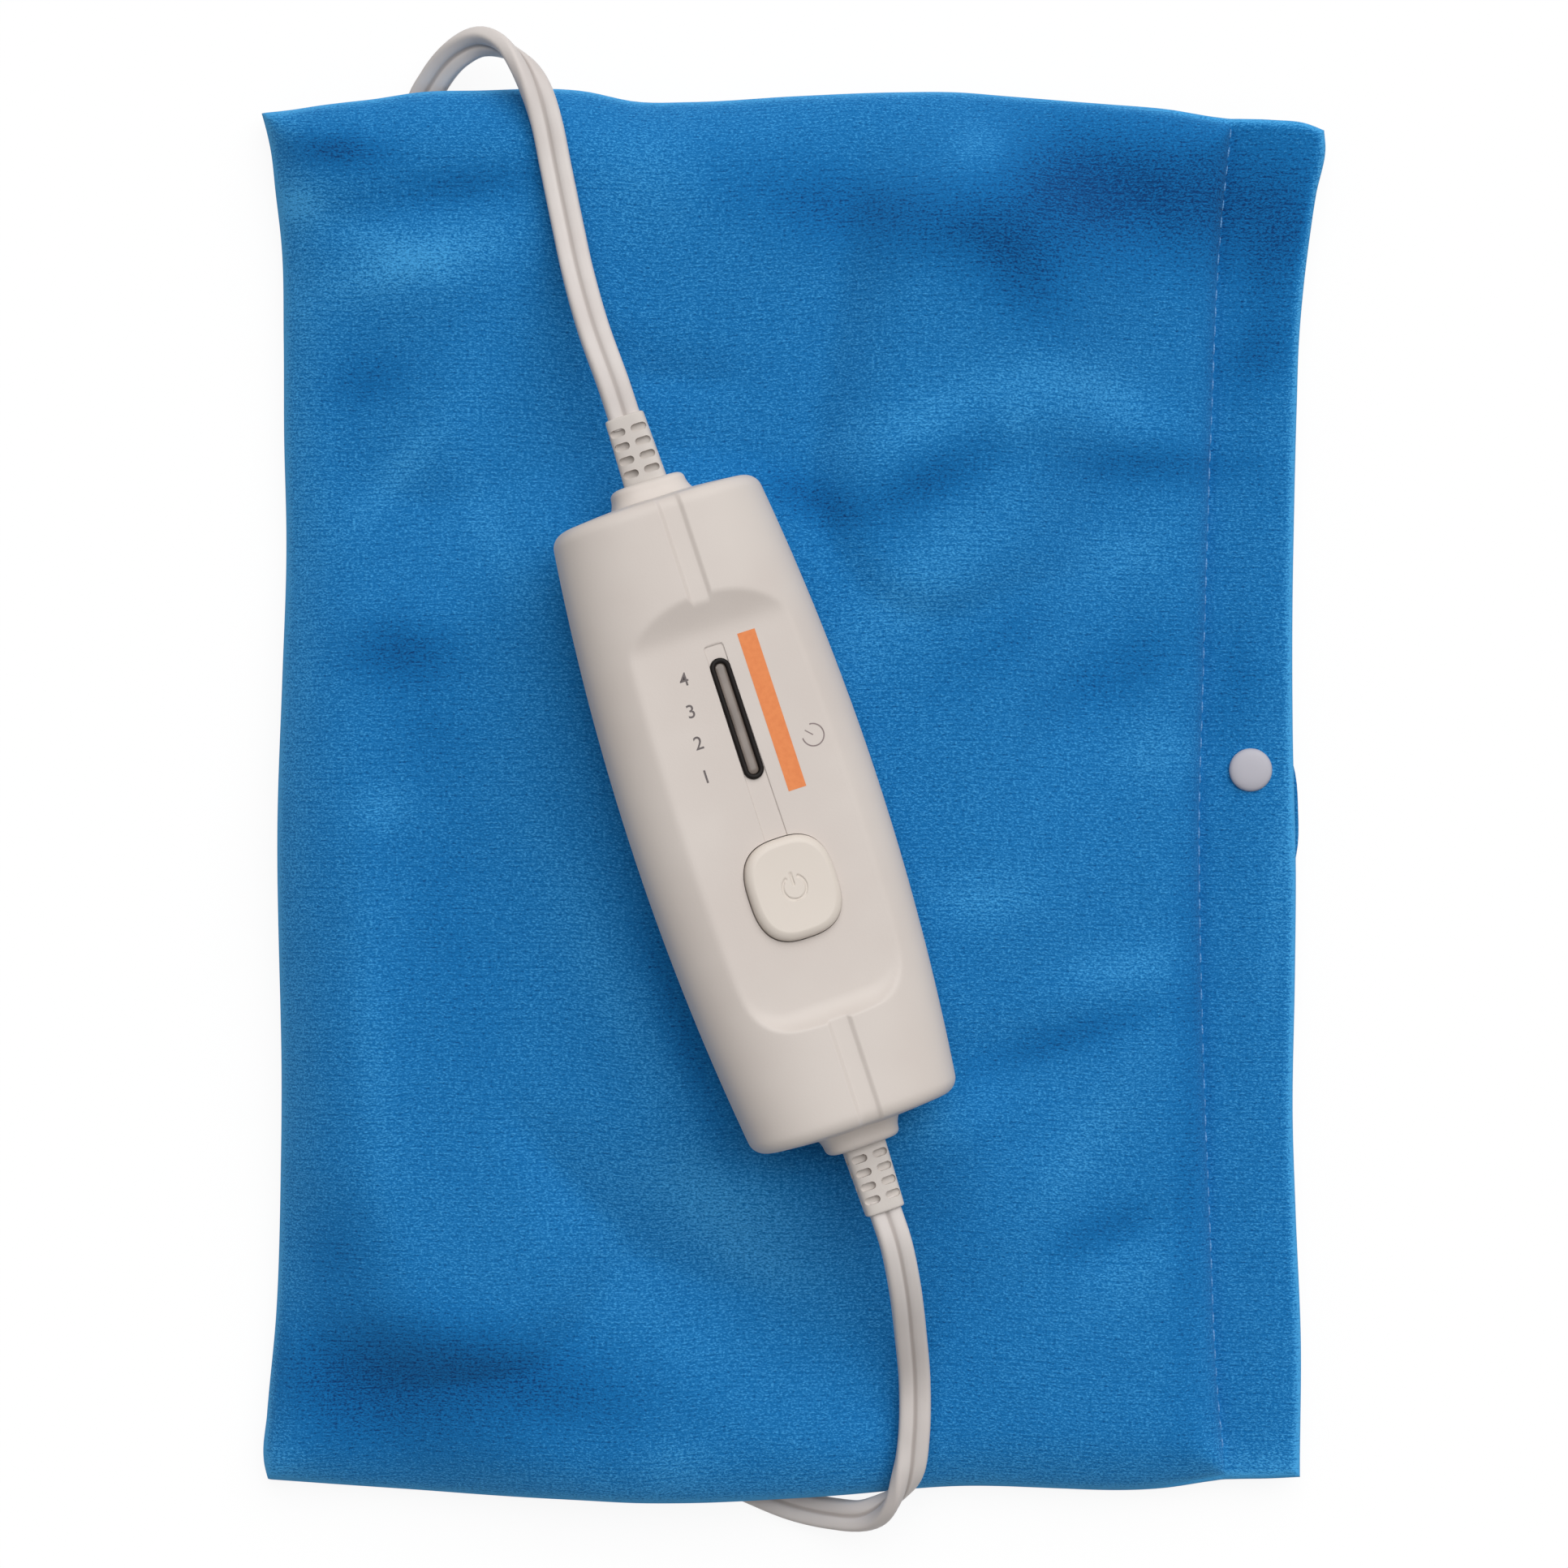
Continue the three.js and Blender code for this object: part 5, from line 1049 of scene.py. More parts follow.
def stitches():
    """Each stitch: rings of thread that close to nothing at both ends, arched up from the cloth between."""
    first = through(FOOT_END, SEAM_FOOT[0]) + SEAM_FOOT[1]
    last = through(HEAD_END, SEAM_HEAD[0]) + SEAM_HEAD[1]
    start = np.arange(first, last, STITCH_PITCH)
    along = np.linspace(0, 1, THREAD_RINGS)
    y = start[:, None] + along[None] * STITCH_LENGTH
    x = through(STITCH_LINE, y)
    middle, half = front_layer(x, y)
    z = middle + half + STITCH_ARCH * np.sin(np.pi * along) - STITCH_BED
    radius = THREAD * np.sqrt(np.clip(1 - (2 * along - 1) ** 2, 0, 1))[None, :, None]
    angle = around(THREAD_SIDES)
    ring_x = x[..., None] + radius * np.cos(angle)
    ring_z = z[..., None] + radius * np.sin(angle)
    points = np.stack([ring_x, np.broadcast_to(y[..., None], ring_x.shape), ring_z], axis=-1)
    faces = grid_faces(*points.shape[1:3])
    shift = np.arange(len(start))[:, None, None] * points[0, ..., 0].size
    return points, (faces[None] + shift).reshape(-1, 4)


stitch_points, stitch_faces = stitches()
stitch_mesh = build_mesh("hem_stitching", stitch_points, stitch_faces)
stitching = make_piece("hem_stitching", stitch_mesh, hem_thread, body=None)
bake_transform(stitching)
print("stitches:", len(stitch_points))

# %% Press stud cap
SNAP_CAP = [
    (0, 7.75), (1.0, 7.75), (1.0, 8.0), (4.35, 8.0), (4.62, 8.08), (4.78, 8.3), (4.8, 8.6), (4.68, 8.95),
    (4.4, 9.28), (3.9, 9.52), (3.2, 9.7), (2.2, 9.83), (1.1, 9.89), (0, 9.9),
]
SNAP_SIDES = 64


def turned(profile, place):
    """A profile of radii and heights carried round an upright axis."""
    radius, high = np.array(profile, dtype=float).T
    angle = around(SNAP_SIDES)
    x = place[0] + radius[:, None] * np.cos(angle)
    y = place[1] + radius[:, None] * np.sin(angle)
    return np.stack([x, y, np.broadcast_to(high[:, None], x.shape)], axis=-1)


snap_mesh = grid_mesh("press_stud_cap", turned(SNAP_CAP, SNAP_PLACE), crease=50)
snap_piece = make_piece("press_stud_cap", snap_mesh, snap_white, body="hem")
stand_for(snap_piece, "snap", "snap_cap")

# %% [markdown]
# ## The hand control's case
# The case is a long pillow: a superellipse section that swells towards the middle, with rounded ends, and a
# sunk panel on top for the light window and the button. Each half is one grid closed along the parting line.
# The panel and the grooved strip are pressed into the height of the grid, where they stay smooth. Booleans
# only do what a height can't: they join the collars at the ends, and cut the hollow, the window, the button's
# well, the cord holes and the screw pockets.

# %% Onto the control
def on_control(points):
    """From the control's own axes, across, along and up, to the shared frame."""
    return np.asarray(points) @ CONTROL_TURN.T + CONTROL_PLACE


def control_mesh(name, points):
    """The mesh of a grid that is given in the control's own axes."""
    return grid_mesh(name, on_control(points))


print("control's foot end, mm:", np.round(on_control([0, -70, 0]), 1).tolist())

# %% Case finish
case_white = moulded("case_white", srgb(197, 187, 180), srgb(203, 194, 187), 0.42, 2100.0, 0.000035, 0.4)
button_white = moulded("button_white", srgb(207, 197, 187), srgb(213, 204, 194), 0.34, 2600.0, 0.00002, 0.4)
relief_grey = moulded("relief_grey", srgb(192, 184, 178), srgb(199, 192, 186), 0.5, 1700.0, 0.00004, 0.35)
print("finishes:", case_white.name, button_white.name, relief_grey.name)

# %% Panel and strips
PANEL_LEVEL = 12.5
PANEL_DEPTH = 3.0
HEAD_START, HEAD_RUN, HEAD_BLEND = 40.6, 7.3, 7
FOOT_CENTRE = (9.0, -34.0)
FOOT_START, FOOT_RUN, FOOT_STEEPER = 8.0, 5.2, 2.2
STRIP_HALF = 2.3
STRIP_WALL = 0.7
STRIP_DEPTH = 0.65
TONGUE_HALF, TONGUE_WIDER = 2.15, 0.4
TONGUE_HEAD, TONGUE_TAPER, TONGUE_FOOT = 37, 45, -20
TONGUE_CORNER = 0.7
TONGUE_WALL = (0.58, 0.82)
TONGUE_DEPTH = 0.3


def step(value, start, stop):
    """0 before start, 1 after stop, smooth between."""
    return ease((value - start) / (stop - start))


def panel_height(x, y):
    """Flat in the middle, with a ramp of soft start at the head and an ever steeper scoop at the foot."""
    head = np.logaddexp(0, HEAD_BLEND * (y - HEAD_START) / HEAD_RUN) / HEAD_BLEND
    aside = np.maximum(np.abs(x) - FOOT_CENTRE[0], 0)
    beyond = np.maximum(FOOT_CENTRE[1] - y, 0)
    foot = np.clip((np.hypot(aside, beyond) - FOOT_START) / FOOT_RUN, 0, None) * (beyond > 0)
    return PANEL_LEVEL + PANEL_DEPTH * (head + foot**FOOT_STEEPER)


def end_strip(x):
    """The channel that runs out to both ends: flat in the middle, with a soft wall on either side."""
    return STRIP_DEPTH * (1 - step(np.abs(x), STRIP_HALF - STRIP_WALL, STRIP_HALF + STRIP_WALL))


def panel_strip(x, y):
    """The faint tongue on the panel: a shallow step inside a tapering outline with rounded corners."""
    half = TONGUE_HALF + TONGUE_WIDER * np.clip((TONGUE_HEAD - y) / TONGUE_TAPER, 0, 1)
    aside = np.maximum(np.abs(x) - half + TONGUE_CORNER, 0)
    beyond = np.maximum(y - (TONGUE_HEAD - TONGUE_CORNER), 0)
    inside = 1 - step(np.hypot(aside, beyond), *TONGUE_WALL)
    return TONGUE_DEPTH * inside * step(y, TONGUE_FOOT, TONGUE_FOOT + 1)


print("panel's level at the middle, mm:", round(float(panel_height(0.0, 0.0)), 2))

# %% Rows along the case
CASE_HALF = 70.3
CASE_END_WIDTH, CASE_SWELL = 23.2, 4.7
CASE_ROUND = 3.2
CASE_BULGE = 1.2
END_START = CASE_HALF - CASE_ROUND
MIDDLE_ROWS = np.concatenate([
    np.linspace(-END_START, -49.5, 16), np.arange(-49, -40, 0.25), np.linspace(-39.5, 35.5, 74),
    np.arange(35.8, 49, 0.25), np.linspace(49.5, END_START, 16),
])


def case_half_width(y):
    """The half width at the ends, swelling by a parabola towards the middle."""
    return CASE_END_WIDTH + CASE_SWELL * (1 - np.clip(y / CASE_HALF, -1, 1) ** 2)


def case_rows():
    """Rows along the case, close at the panel's ends: a quarter circle over each end, then the end's face."""
    over = np.linspace(0, np.pi / 2, 12)[1:]
    face = np.linspace(1, 0, 9)[1:]
    end_y = np.concatenate([END_START + CASE_ROUND * np.sin(over), CASE_HALF + CASE_BULGE * (1 - face**2)])
    end_inset = np.concatenate([1 - np.cos(over), np.ones(len(face))])
    end_share = np.concatenate([np.ones(len(over)), face])
    y = np.concatenate([-end_y[::-1], MIDDLE_ROWS, end_y])
    inset = np.concatenate([end_inset[::-1], np.zeros(len(MIDDLE_ROWS)), end_inset])
    return y, inset, np.concatenate([end_share[::-1], np.ones(len(MIDDLE_ROWS)), end_share])


print("rows:", len(case_rows()[0]), "widest, mm:", 2 * float(case_half_width(0.0)))

# %% Case halves
CASE_TOP = 15.5
CASE_BOTTOM = 13.0
CASE_TOP_ROUND = 2.3
CASE_POWER = 2.4
PARTING = 0.15
PANEL_BLUR = 0.3
STRIP_ABOVE, TONGUE_ABOVE = 6, 11
STRIP_COLUMNS = np.concatenate([np.linspace(0, 1.7, 4), np.linspace(1.85, 3.1, 16), np.linspace(3.4, 6, 5)])
STRIP_FULL = 8
EDGE_COLUMNS = 1 - (1 - np.linspace(0, 1, 40)[1:]) ** 2.4
UNDERSIDE_COLUMNS = (0.6, 0.2, -0.2, -0.6, -1)


def case_half(high, side):
    """Rows of a half superellipse, closed by a flat underside at the parting line."""
    y, inset, share = (q[:, None] for q in case_rows())
    wide = (case_half_width(y) - CASE_ROUND * inset) * share
    inner_x = STRIP_COLUMNS[None] * np.minimum(wide / STRIP_FULL, 1)
    edge_x = inner_x[:, -1:]
    right = np.concatenate([inner_x, edge_x + (wide - edge_x) * EDGE_COLUMNS[None]], axis=1)
    x = np.concatenate([right[:, ::-1], -right[:, 1:]], axis=1)
    arch = np.clip(1 - (np.abs(x) / np.maximum(wide, 1e-9)) ** CASE_POWER, 0, 1) ** (1 / CASE_POWER)
    z = PARTING + np.maximum((high - CASE_TOP_ROUND * inset) * share - PARTING, 0) * arch
    if side > 0:
        grooved = z - end_strip(x) * (z > STRIP_ABOVE)
        z = blunt_min(grooved, panel_height(x, y), PANEL_BLUR) - panel_strip(x, y) * (z > TONGUE_ABOVE)
    back = np.stack([x[:, -1] * q for q in UNDERSIDE_COLUMNS], axis=1)
    x = np.concatenate([x, back], axis=1)
    z = np.concatenate([z, np.full(back.shape, PARTING)], axis=1)
    return np.stack([x, np.broadcast_to(y, x.shape), z * side], axis=-1)


top_case = make_piece("case_top", control_mesh("case_top", case_half(CASE_TOP, 1)), case_white)
bottom_case = make_piece("case_bottom", control_mesh("case_bottom", case_half(CASE_BOTTOM, -1)), case_white)

# %% Rings and prisms
STADIUM_SHARP = 40


def squared_ring(angle, wide, high, power):
    """A superellipse: the sine and cosine raised to 2 over its power, with their signs."""
    a, b = np.cos(angle), np.sin(angle)
    return wide * np.sign(a) * np.abs(a) ** (2 / power), high * np.sign(b) * np.abs(b) ** (2 / power)


def along_case(stations, power, sides=64):
    """Rings across the case at places along it, each of its half width and height, closed at both ends."""
    stations = np.array(stations, dtype=float)
    stations = np.vstack([[stations[0, 0], 0, 0], stations, [stations[-1, 0], 0, 0]])
    x, z = squared_ring(around(sides)[None], stations[:, 1:2], stations[:, 2:3], power)
    return np.stack([x, np.broadcast_to(stations[:, :1], x.shape), z], axis=-1)


def upright(outline, place_y, low, high):
    """An outline of x and y carried straight up, and drawn in to a point to close it above and below."""
    x, y = (side * np.array([0.0, 1, 1, 0])[:, None] for side in outline)
    level = np.broadcast_to(np.array([low, low, high, high])[:, None], x.shape)
    return np.stack([x, y + place_y, level], axis=-1)


def stadium_ring(angle, wide, long):
    """A half circle at each end of a straight run: the circle's points pushed apart along the run."""
    apart = (long - wide) / 2 * np.tanh(STADIUM_SHARP * np.sin(angle))
    return wide / 2 * np.cos(angle), wide / 2 * np.sin(angle) + apart


def capsule(centre, size, power=3.0):
    """A rounded block: rings of a superellipse whose size follows a superellipse again."""
    level = np.linspace(-1, 1, 9)
    share = (1 - np.abs(level) ** power) ** (1 / power)
    x, y = squared_ring(around(20)[None], size[0] * share[:, None], size[1] * share[:, None], power)
    return np.stack([x, y, np.broadcast_to(size[2] * level[:, None], x.shape)], axis=-1) + np.array(centre)


print("corner of a squared ring of half sides 1:", np.round(squared_ring(np.pi / 4, 1, 1, 4.0), 2).tolist())

# %% Joining and cutting
CUT_CREASE = 32


def shape_with(piece, other_points, operation):
    """Joins a helper solid to a piece, or cuts it out, and keeps only the result."""
    helper = bpy.data.objects.new("helper", control_mesh("helper", other_points))
    scene.collection.objects.link(helper)
    modifier = piece.modifiers.new("shape", "BOOLEAN")
    modifier.operation = operation
    modifier.solver = "MANIFOLD"
    modifier.object = helper
    shaped = bpy.data.meshes.new_from_object(piece.evaluated_get(bpy.context.evaluated_depsgraph_get()))
    piece.modifiers.clear()
    old, helper_mesh = piece.data, helper.data
    shaped.name = old.name
    piece.data = shaped
    bpy.data.objects.remove(helper)
    bpy.data.meshes.remove(helper_mesh)
    bpy.data.meshes.remove(old)
    shaped.shade_smooth()
    shaped.set_sharp_from_angle(angle=np.radians(CUT_CREASE))


def cut(piece, other_points):
    """Takes a helper solid out of a piece."""
    shape_with(piece, other_points, "DIFFERENCE")


print("booleans are kept as plain meshes; edges sharper than", CUT_CREASE, "degrees stay sharp")

# %% Collars
COLLAR_WIDE, COLLAR_HIGH, COLLAR_POWER = 8.25, 6.2, 2.8
COLLAR_FLARE, COLLAR_FLARE_RUN, COLLAR_FLARE_MOST = 1.6, 3.8, 2.2
COLLAR_LONG, COLLAR_LIP, COLLAR_ROOT = 5.0, 1.5, 1.5


def collar_stations(sign):
    """The collar's flare: falling as a square from the case's end, then a well rounded lip."""
    straight = COLLAR_LONG - COLLAR_LIP
    over = np.linspace(0.1, np.pi / 2, 9)
    out = np.concatenate([np.linspace(-COLLAR_ROOT, straight, 12), straight + COLLAR_LIP * np.sin(over)])
    grow = np.minimum(COLLAR_FLARE * np.clip(1 - out / COLLAR_FLARE_RUN, 0, 1) ** 2, COLLAR_FLARE_MOST)
    grow[-len(over):] -= COLLAR_LIP * (1 - np.cos(over))
    y = sign * (CASE_HALF + out)
    return np.stack([y, COLLAR_WIDE + grow, COLLAR_HIGH + grow], axis=1)


for sign in (1, -1):
    collar = along_case(collar_stations(sign), COLLAR_POWER)
    upper = np.maximum(collar[..., 2], PARTING)
    lower = np.minimum(collar[..., 2], -PARTING)
    shape_with(top_case, np.dstack([collar[..., 0], collar[..., 1], upper]), "UNION")
    shape_with(bottom_case, np.dstack([collar[..., 0], collar[..., 1], lower]), "UNION")
print("case halves:", len(top_case.data.polygons), len(bottom_case.data.polygons), "faces")

# %% Hollow and holes
CAVITY_WALL = 2.2
CAVITY_HIGH = 10.5
CAVITY_END, CAVITY_CORNER, CAVITY_STRAIGHT = 68.1, 1.8, 66
CORD_HOLE = [(60, 4.9, 3.25), (80, 4.9, 3.25)]
CORD_HOLE_POWER = 4.0
CUT_FROM, CUT_TO = 5, 20
BUTTON_PLACE = -17.5
BUTTON_WIDE, BUTTON_LONG = 9.85, 11.0
BUTTON_POWER = 2.75
BUTTON_GAP = 0.2
WINDOW_PLACE = 20.5
WINDOW_WIDE, WINDOW_LONG = 4.5, 27.0
WINDOW_GAP = 0.1
SCREW_PLACES = [(16.5, 50), (-16.5, 50), (16.5, -50), (-16.5, -50)]
SCREW_POCKET, SCREW_FLOOR = 2.7, -5.5

hollow_y = np.concatenate([[-CAVITY_END], np.linspace(-CAVITY_STRAIGHT, CAVITY_STRAIGHT, 27), [CAVITY_END]])
hollow_in = np.where(np.abs(hollow_y) > CAVITY_STRAIGHT, CAVITY_CORNER, 0.0)
hollow_wide = case_half_width(hollow_y) - CAVITY_WALL - hollow_in
hollow = along_case(np.stack([hollow_y, hollow_wide, CAVITY_HIGH - hollow_in], axis=1), CASE_POWER)
cord_holes = [along_case(np.array(CORD_HOLE) * (sign, 1, 1), CORD_HOLE_POWER) for sign in (1, -1)]
for case_piece in (top_case, bottom_case):
    for opening in (hollow, *cord_holes):
        cut(case_piece, opening)
well_ring = squared_ring(around(96), BUTTON_WIDE + BUTTON_GAP, BUTTON_LONG + BUTTON_GAP, BUTTON_POWER)
cut(top_case, upright(well_ring, BUTTON_PLACE, CUT_FROM, CUT_TO))
window_ring = stadium_ring(around(96), WINDOW_WIDE + WINDOW_GAP, WINDOW_LONG + WINDOW_GAP)
cut(top_case, upright(window_ring, WINDOW_PLACE, CUT_FROM, CUT_TO))
pocket_ring = squared_ring(around(32), SCREW_POCKET, SCREW_POCKET, 2.0)
for screw_x, screw_y in SCREW_PLACES:
    pocket = upright(pocket_ring, screw_y, -CUT_TO, SCREW_FLOOR)
    cut(bottom_case, pocket + np.array([screw_x, 0, 0]))
stand_for(top_case, "case", "top_shell")
stand_for(bottom_case, "case", "bottom_shell")
print("case halves:", len(top_case.data.polygons), len(bottom_case.data.polygons), "faces")

# %% [markdown]
# ## Strain reliefs
# A ribbed sleeve keeps each lead from kinking where it leaves the case. Rows of slots on its faces and
# notches in its sides let it bend. The sleeve is a tapered superellipse tube. Its slots are stadium shapes
# cut into the two faces, and its notches rounded blocks cut out of the sides.

# %% Reliefs
RELIEF_START, RELIEF_STOP = 68.5, 90.3
RELIEF_MOUTH = 75.3
RELIEF_WIDE, RELIEF_HIGH, RELIEF_POWER = 4.75, 3.1, 3.6
RELIEF_TAPER = 0.45
RELIEF_LIP = 0.5
SLOT_ROWS = [77.7, 80.8, 83.9, 87.0]
SLOT_WIDE, SLOT_LONG, SLOT_FLOOR, SLOT_TOP = 1.7, 3.4, 1.5, 6
SPINE_HALF = 0.65
NOTCH_PLACE, NOTCH_SIZE = 5.0, (0.95, 0.7, 1.4)
RELIEF_TWIST = {1: -15.0, -1: -2.0}


def relief_stations():
    """Straight in the collar, then tapering from the collar's mouth to a rounded lip."""
    straight = RELIEF_STOP - RELIEF_LIP
    lip_turn = np.linspace(0, np.pi / 2, 6)[1:]
    y = np.concatenate([
        [RELIEF_START, RELIEF_MOUTH], np.linspace(RELIEF_MOUTH + 0.4, straight, 16),
        straight + RELIEF_LIP * np.sin(lip_turn),
    ])
    shrink = RELIEF_TAPER * np.clip((y - RELIEF_MOUTH) / (RELIEF_STOP - RELIEF_MOUTH), 0, 1)
    shrink[-len(lip_turn):] += RELIEF_LIP * (1 - np.cos(lip_turn))
    return np.stack([y, RELIEF_WIDE - shrink, RELIEF_HIGH - shrink], axis=1)


def strain_relief(name, node, sign):
    """The sleeve and its slots, turned a little about the lead, as soft rubber follows its cord."""
    twist = turn_about(1, np.radians(RELIEF_TWIST[sign])).T
    sleeve = along_case(relief_stations(), RELIEF_POWER, sides=72) * np.array([1, sign, 1])
    piece = make_piece(name, control_mesh(name, sleeve @ twist), relief_grey)
    slot_ring = stadium_ring(around(40), SLOT_WIDE, SLOT_LONG)[::-1]
    for row in SLOT_ROWS:
        for side in (1, -1):
            slot_place = np.array([side * (SPINE_HALF + SLOT_LONG / 2), sign * row, 0])
            for face in (1, -1):
                slot = upright(slot_ring, 0, face * SLOT_FLOOR, face * SLOT_TOP)
                cut(piece, (slot + slot_place) @ twist)
            cut(piece, capsule((side * NOTCH_PLACE, sign * row, 0), NOTCH_SIZE) @ twist)
    stand_for(piece, "cord", node)


strain_relief("relief_sleeve_pad", "relief_pad", 1)
strain_relief("relief_sleeve_mains", "relief_mains", -1)

# %% [markdown]
# ## Button, window and printed marks
# The button is a squarish cap with a raised edge, a shallow dish and a power sign pressed into it. It rides
# on its own body and slides into its well. The light window is a smoked lens in a glossy black rim. Plain
# numbers mark the four heat steps, and a bare coloured band runs beside the window.

# %% Power sign
SIGN_RADIUS, SIGN_STROKE, SIGN_DEPTH = 2.6, 0.34, 0.22
SIGN_FLAT = 0.45
SIGN_OPENING = (0.42, 0.56)
SIGN_BAR, SIGN_BAR_HALF = 1.9, 1.2


def power_sign(x, y):
    """How deep the sign is pressed: near a ring open at its head, or near a short upright bar in it."""
    open_head = step(np.arctan2(np.abs(x), y), *SIGN_OPENING)
    from_ring = np.abs(np.hypot(x, y) - SIGN_RADIUS)
    from_bar = np.hypot(x, np.maximum(np.abs(y - SIGN_BAR) - SIGN_BAR_HALF, 0))
    ring, bar = (1 - step(gap, SIGN_STROKE * SIGN_FLAT, SIGN_STROKE) for gap in (from_ring, from_bar))
    return SIGN_DEPTH * np.maximum(ring * open_head, bar)


print("sign's depth on its bar, mm:", float(power_sign(0.0, SIGN_BAR)))

# %% Button
BUTTON_TOP = 14.7
BUTTON_EDGE = 1.5
BUTTON_EDGE_TURN = np.radians(72)
BUTTON_DISH = 0.16
BUTTON_SKIRT = [(0, 4.9), (0.26, 4.9), (0.26, 9.0), (1.08, 9.0), (1.08, 10.2), (1, 10.2)]
BUTTON_SIDES = 144
STEM_SHARE, STEM_POWER, STEM_SQUARER = 0.4, 2.0, 2.5
SIGN_ABOVE = 12


def button_rings():
    """From the hidden stem out to the flange, up the skirt, over the rounded edge, and in across the dish."""
    over = np.linspace(0, BUTTON_EDGE_TURN, 10)
    inward = np.linspace(BUTTON_EDGE, BUTTON_WIDE, 62)
    share, level = np.array(BUTTON_SKIRT).T
    rounded = (1 - np.cos(over)) / (1 - np.cos(BUTTON_EDGE_TURN))
    edge = 1 - BUTTON_EDGE * rounded / BUTTON_WIDE
    edge_z = BUTTON_TOP - BUTTON_EDGE * (1 - np.sin(over) / np.sin(BUTTON_EDGE_TURN))
    top = 1 - inward[1:] / BUTTON_WIDE
    top_z = BUTTON_TOP - BUTTON_DISH * (1 - (top / top[0]) ** 2)
    return np.concatenate([share, edge, top]), np.concatenate([level, edge_z, top_z])


def button_points():
    """Each ring a superellipse, nearly round at the stem, with the power sign taken off its height on top."""
    share, level = (q[:, None] for q in button_rings())
    power = np.where(share < STEM_SHARE, STEM_POWER + share * STEM_SQUARER, BUTTON_POWER)
    x, y = squared_ring(around(BUTTON_SIDES)[None], BUTTON_WIDE * share, BUTTON_LONG * share, power)
    z = level - power_sign(x, y) * (level > SIGN_ABOVE)
    return np.stack([x, y + BUTTON_PLACE, z], axis=-1)


button_mesh = control_mesh("button_cap", button_points())
button_cap = make_piece("button_cap", button_mesh, button_white, body="button")
stand_for(button_cap, "button", "power_button")

# %% Window finishes
def gloss_black():
    """Polished black plastic: nearly even, with faint rubbed clouds in its shine."""
    material, shader, place = start_finish("window_black", {"Specular IOR Level": 0.12})
    rubbed = noise(place, 300.0, 3.0)
    spread(rubbed).mix(srgb(11, 7, 6), srgb(19, 13, 11)).feed(shader, "Base Color")
    (0.34 + rubbed * 0.14).feed(shader, "Roughness")
    return material


def smoked_lens():
    """Smoked plastic over the lamps: hazy brown clouds under a clear shine."""
    material, shader, place = start_finish("smoked_lens", {"Specular IOR Level": 0.35, "Coat Weight": 0.15})
    haze = noise(place, 120.0, 3.0)
    spread(haze).mix(srgb(104, 93, 86), srgb(126, 114, 106)).feed(shader, "Base Color")
    (0.12 + haze * 0.12).feed(shader, "Roughness")
    return material


window_black = gloss_black()
lens_smoke = smoked_lens()
print("finishes:", window_black.name, lens_smoke.name)

# %% Window
WINDOW_SIDES = 128
WINDOW_FLOOR = 10.4
WINDOW_RIM = 1.05
RIM_TOP, RIM_ROUND = 13.0, 0.4
LENS_EDGE, LENS_SHOULDER = 1.08, 1.12
LENS_SIDE, LENS_LEVEL, LENS_BOW = 12.25, 12.3, 0.22
LENS_CENTRE = WINDOW_WIDE / 2 - 1e-4


def stadium_rings(insets, levels):
    """The window's stadium outline drawn in by each inset and set at each level."""
    angle = around(WINDOW_SIDES)
    rings = []
    for inset, level in zip(insets, levels):
        x, y = stadium_ring(angle, WINDOW_WIDE - 2 * inset, WINDOW_LONG - 2 * inset)
        rings.append(np.stack([x, y + WINDOW_PLACE, np.full(x.shape, level)], axis=-1))
    return np.stack(rings)


arc = np.linspace(0, np.pi, 11)
rim_inset = np.concatenate([[0], WINDOW_RIM / 2 * (1 - np.cos(arc)), [WINDOW_RIM, 0]])
rim_arch = RIM_TOP - RIM_ROUND + RIM_ROUND * np.sin(arc)
rim_level = np.concatenate([[WINDOW_FLOOR], rim_arch, [WINDOW_FLOOR] * 2])
rim_mesh = control_mesh("window_frame", stadium_rings(rim_inset, rim_level))
rim_piece = make_piece("window_frame", rim_mesh, window_black)
stand_for(rim_piece, "window_rim", "window_rim")

lens_inset = np.concatenate([[LENS_CENTRE, LENS_EDGE, LENS_EDGE], np.linspace(LENS_SHOULDER, LENS_CENTRE, 9)])
lens_top = LENS_LEVEL + LENS_BOW * (1 - np.linspace(1, 0, 9) ** 2)
lens_level = np.concatenate([[WINDOW_FLOOR, WINDOW_FLOOR, LENS_SIDE], lens_top])
lens_mesh = control_mesh("window_glass", stadium_rings(lens_inset, lens_level))
lens_piece = make_piece("window_glass", lens_mesh, lens_smoke)
stand_for(lens_piece, "window_lens", "window_lens")

# %% Print finishes
def ink(name, dark, light):
    """Printing ink: slightly uneven where the plate pressed less, and a little duller than the case."""
    material, shader, place = start_finish(name, {"Specular IOR Level": 0.35})
    press = noise(place, 900.0, 3.0, 0.6)
    spread(press, 0.25, 0.7).mix(dark, light).feed(shader, "Base Color")
    (0.42 + press * 0.16).feed(shader, "Roughness")
    return material


grey_ink = ink("grey_ink", srgb(74, 66, 66), srgb(98, 90, 89))
pale_ink = ink("pale_ink", srgb(118, 104, 102), srgb(134, 120, 118))
orange_ink = ink("orange_ink", srgb(212, 119, 60), srgb(219, 129, 70))
print("finishes:", grey_ink.name, pale_ink.name, orange_ink.name)

# %% Flat marks
PRINT_HEIGHT = 0.03


def panel_print(name, flat_points, faces, finish):
    """A flat mark laid on the panel, a hair above it and facing up."""
    points = flat_points.reshape(-1, 2)
    upper = np.column_stack([points, np.full(len(points), PANEL_LEVEL + PRINT_HEIGHT)])
    mesh = build_mesh(name, on_control(upper), faces)
    if np.dot(mesh.polygons[0].normal, CONTROL_UP) < 0:
        mesh.flip_normals()
    make_piece(name, mesh, finish)


print("marks lie", PRINT_HEIGHT, "mm above the panel")

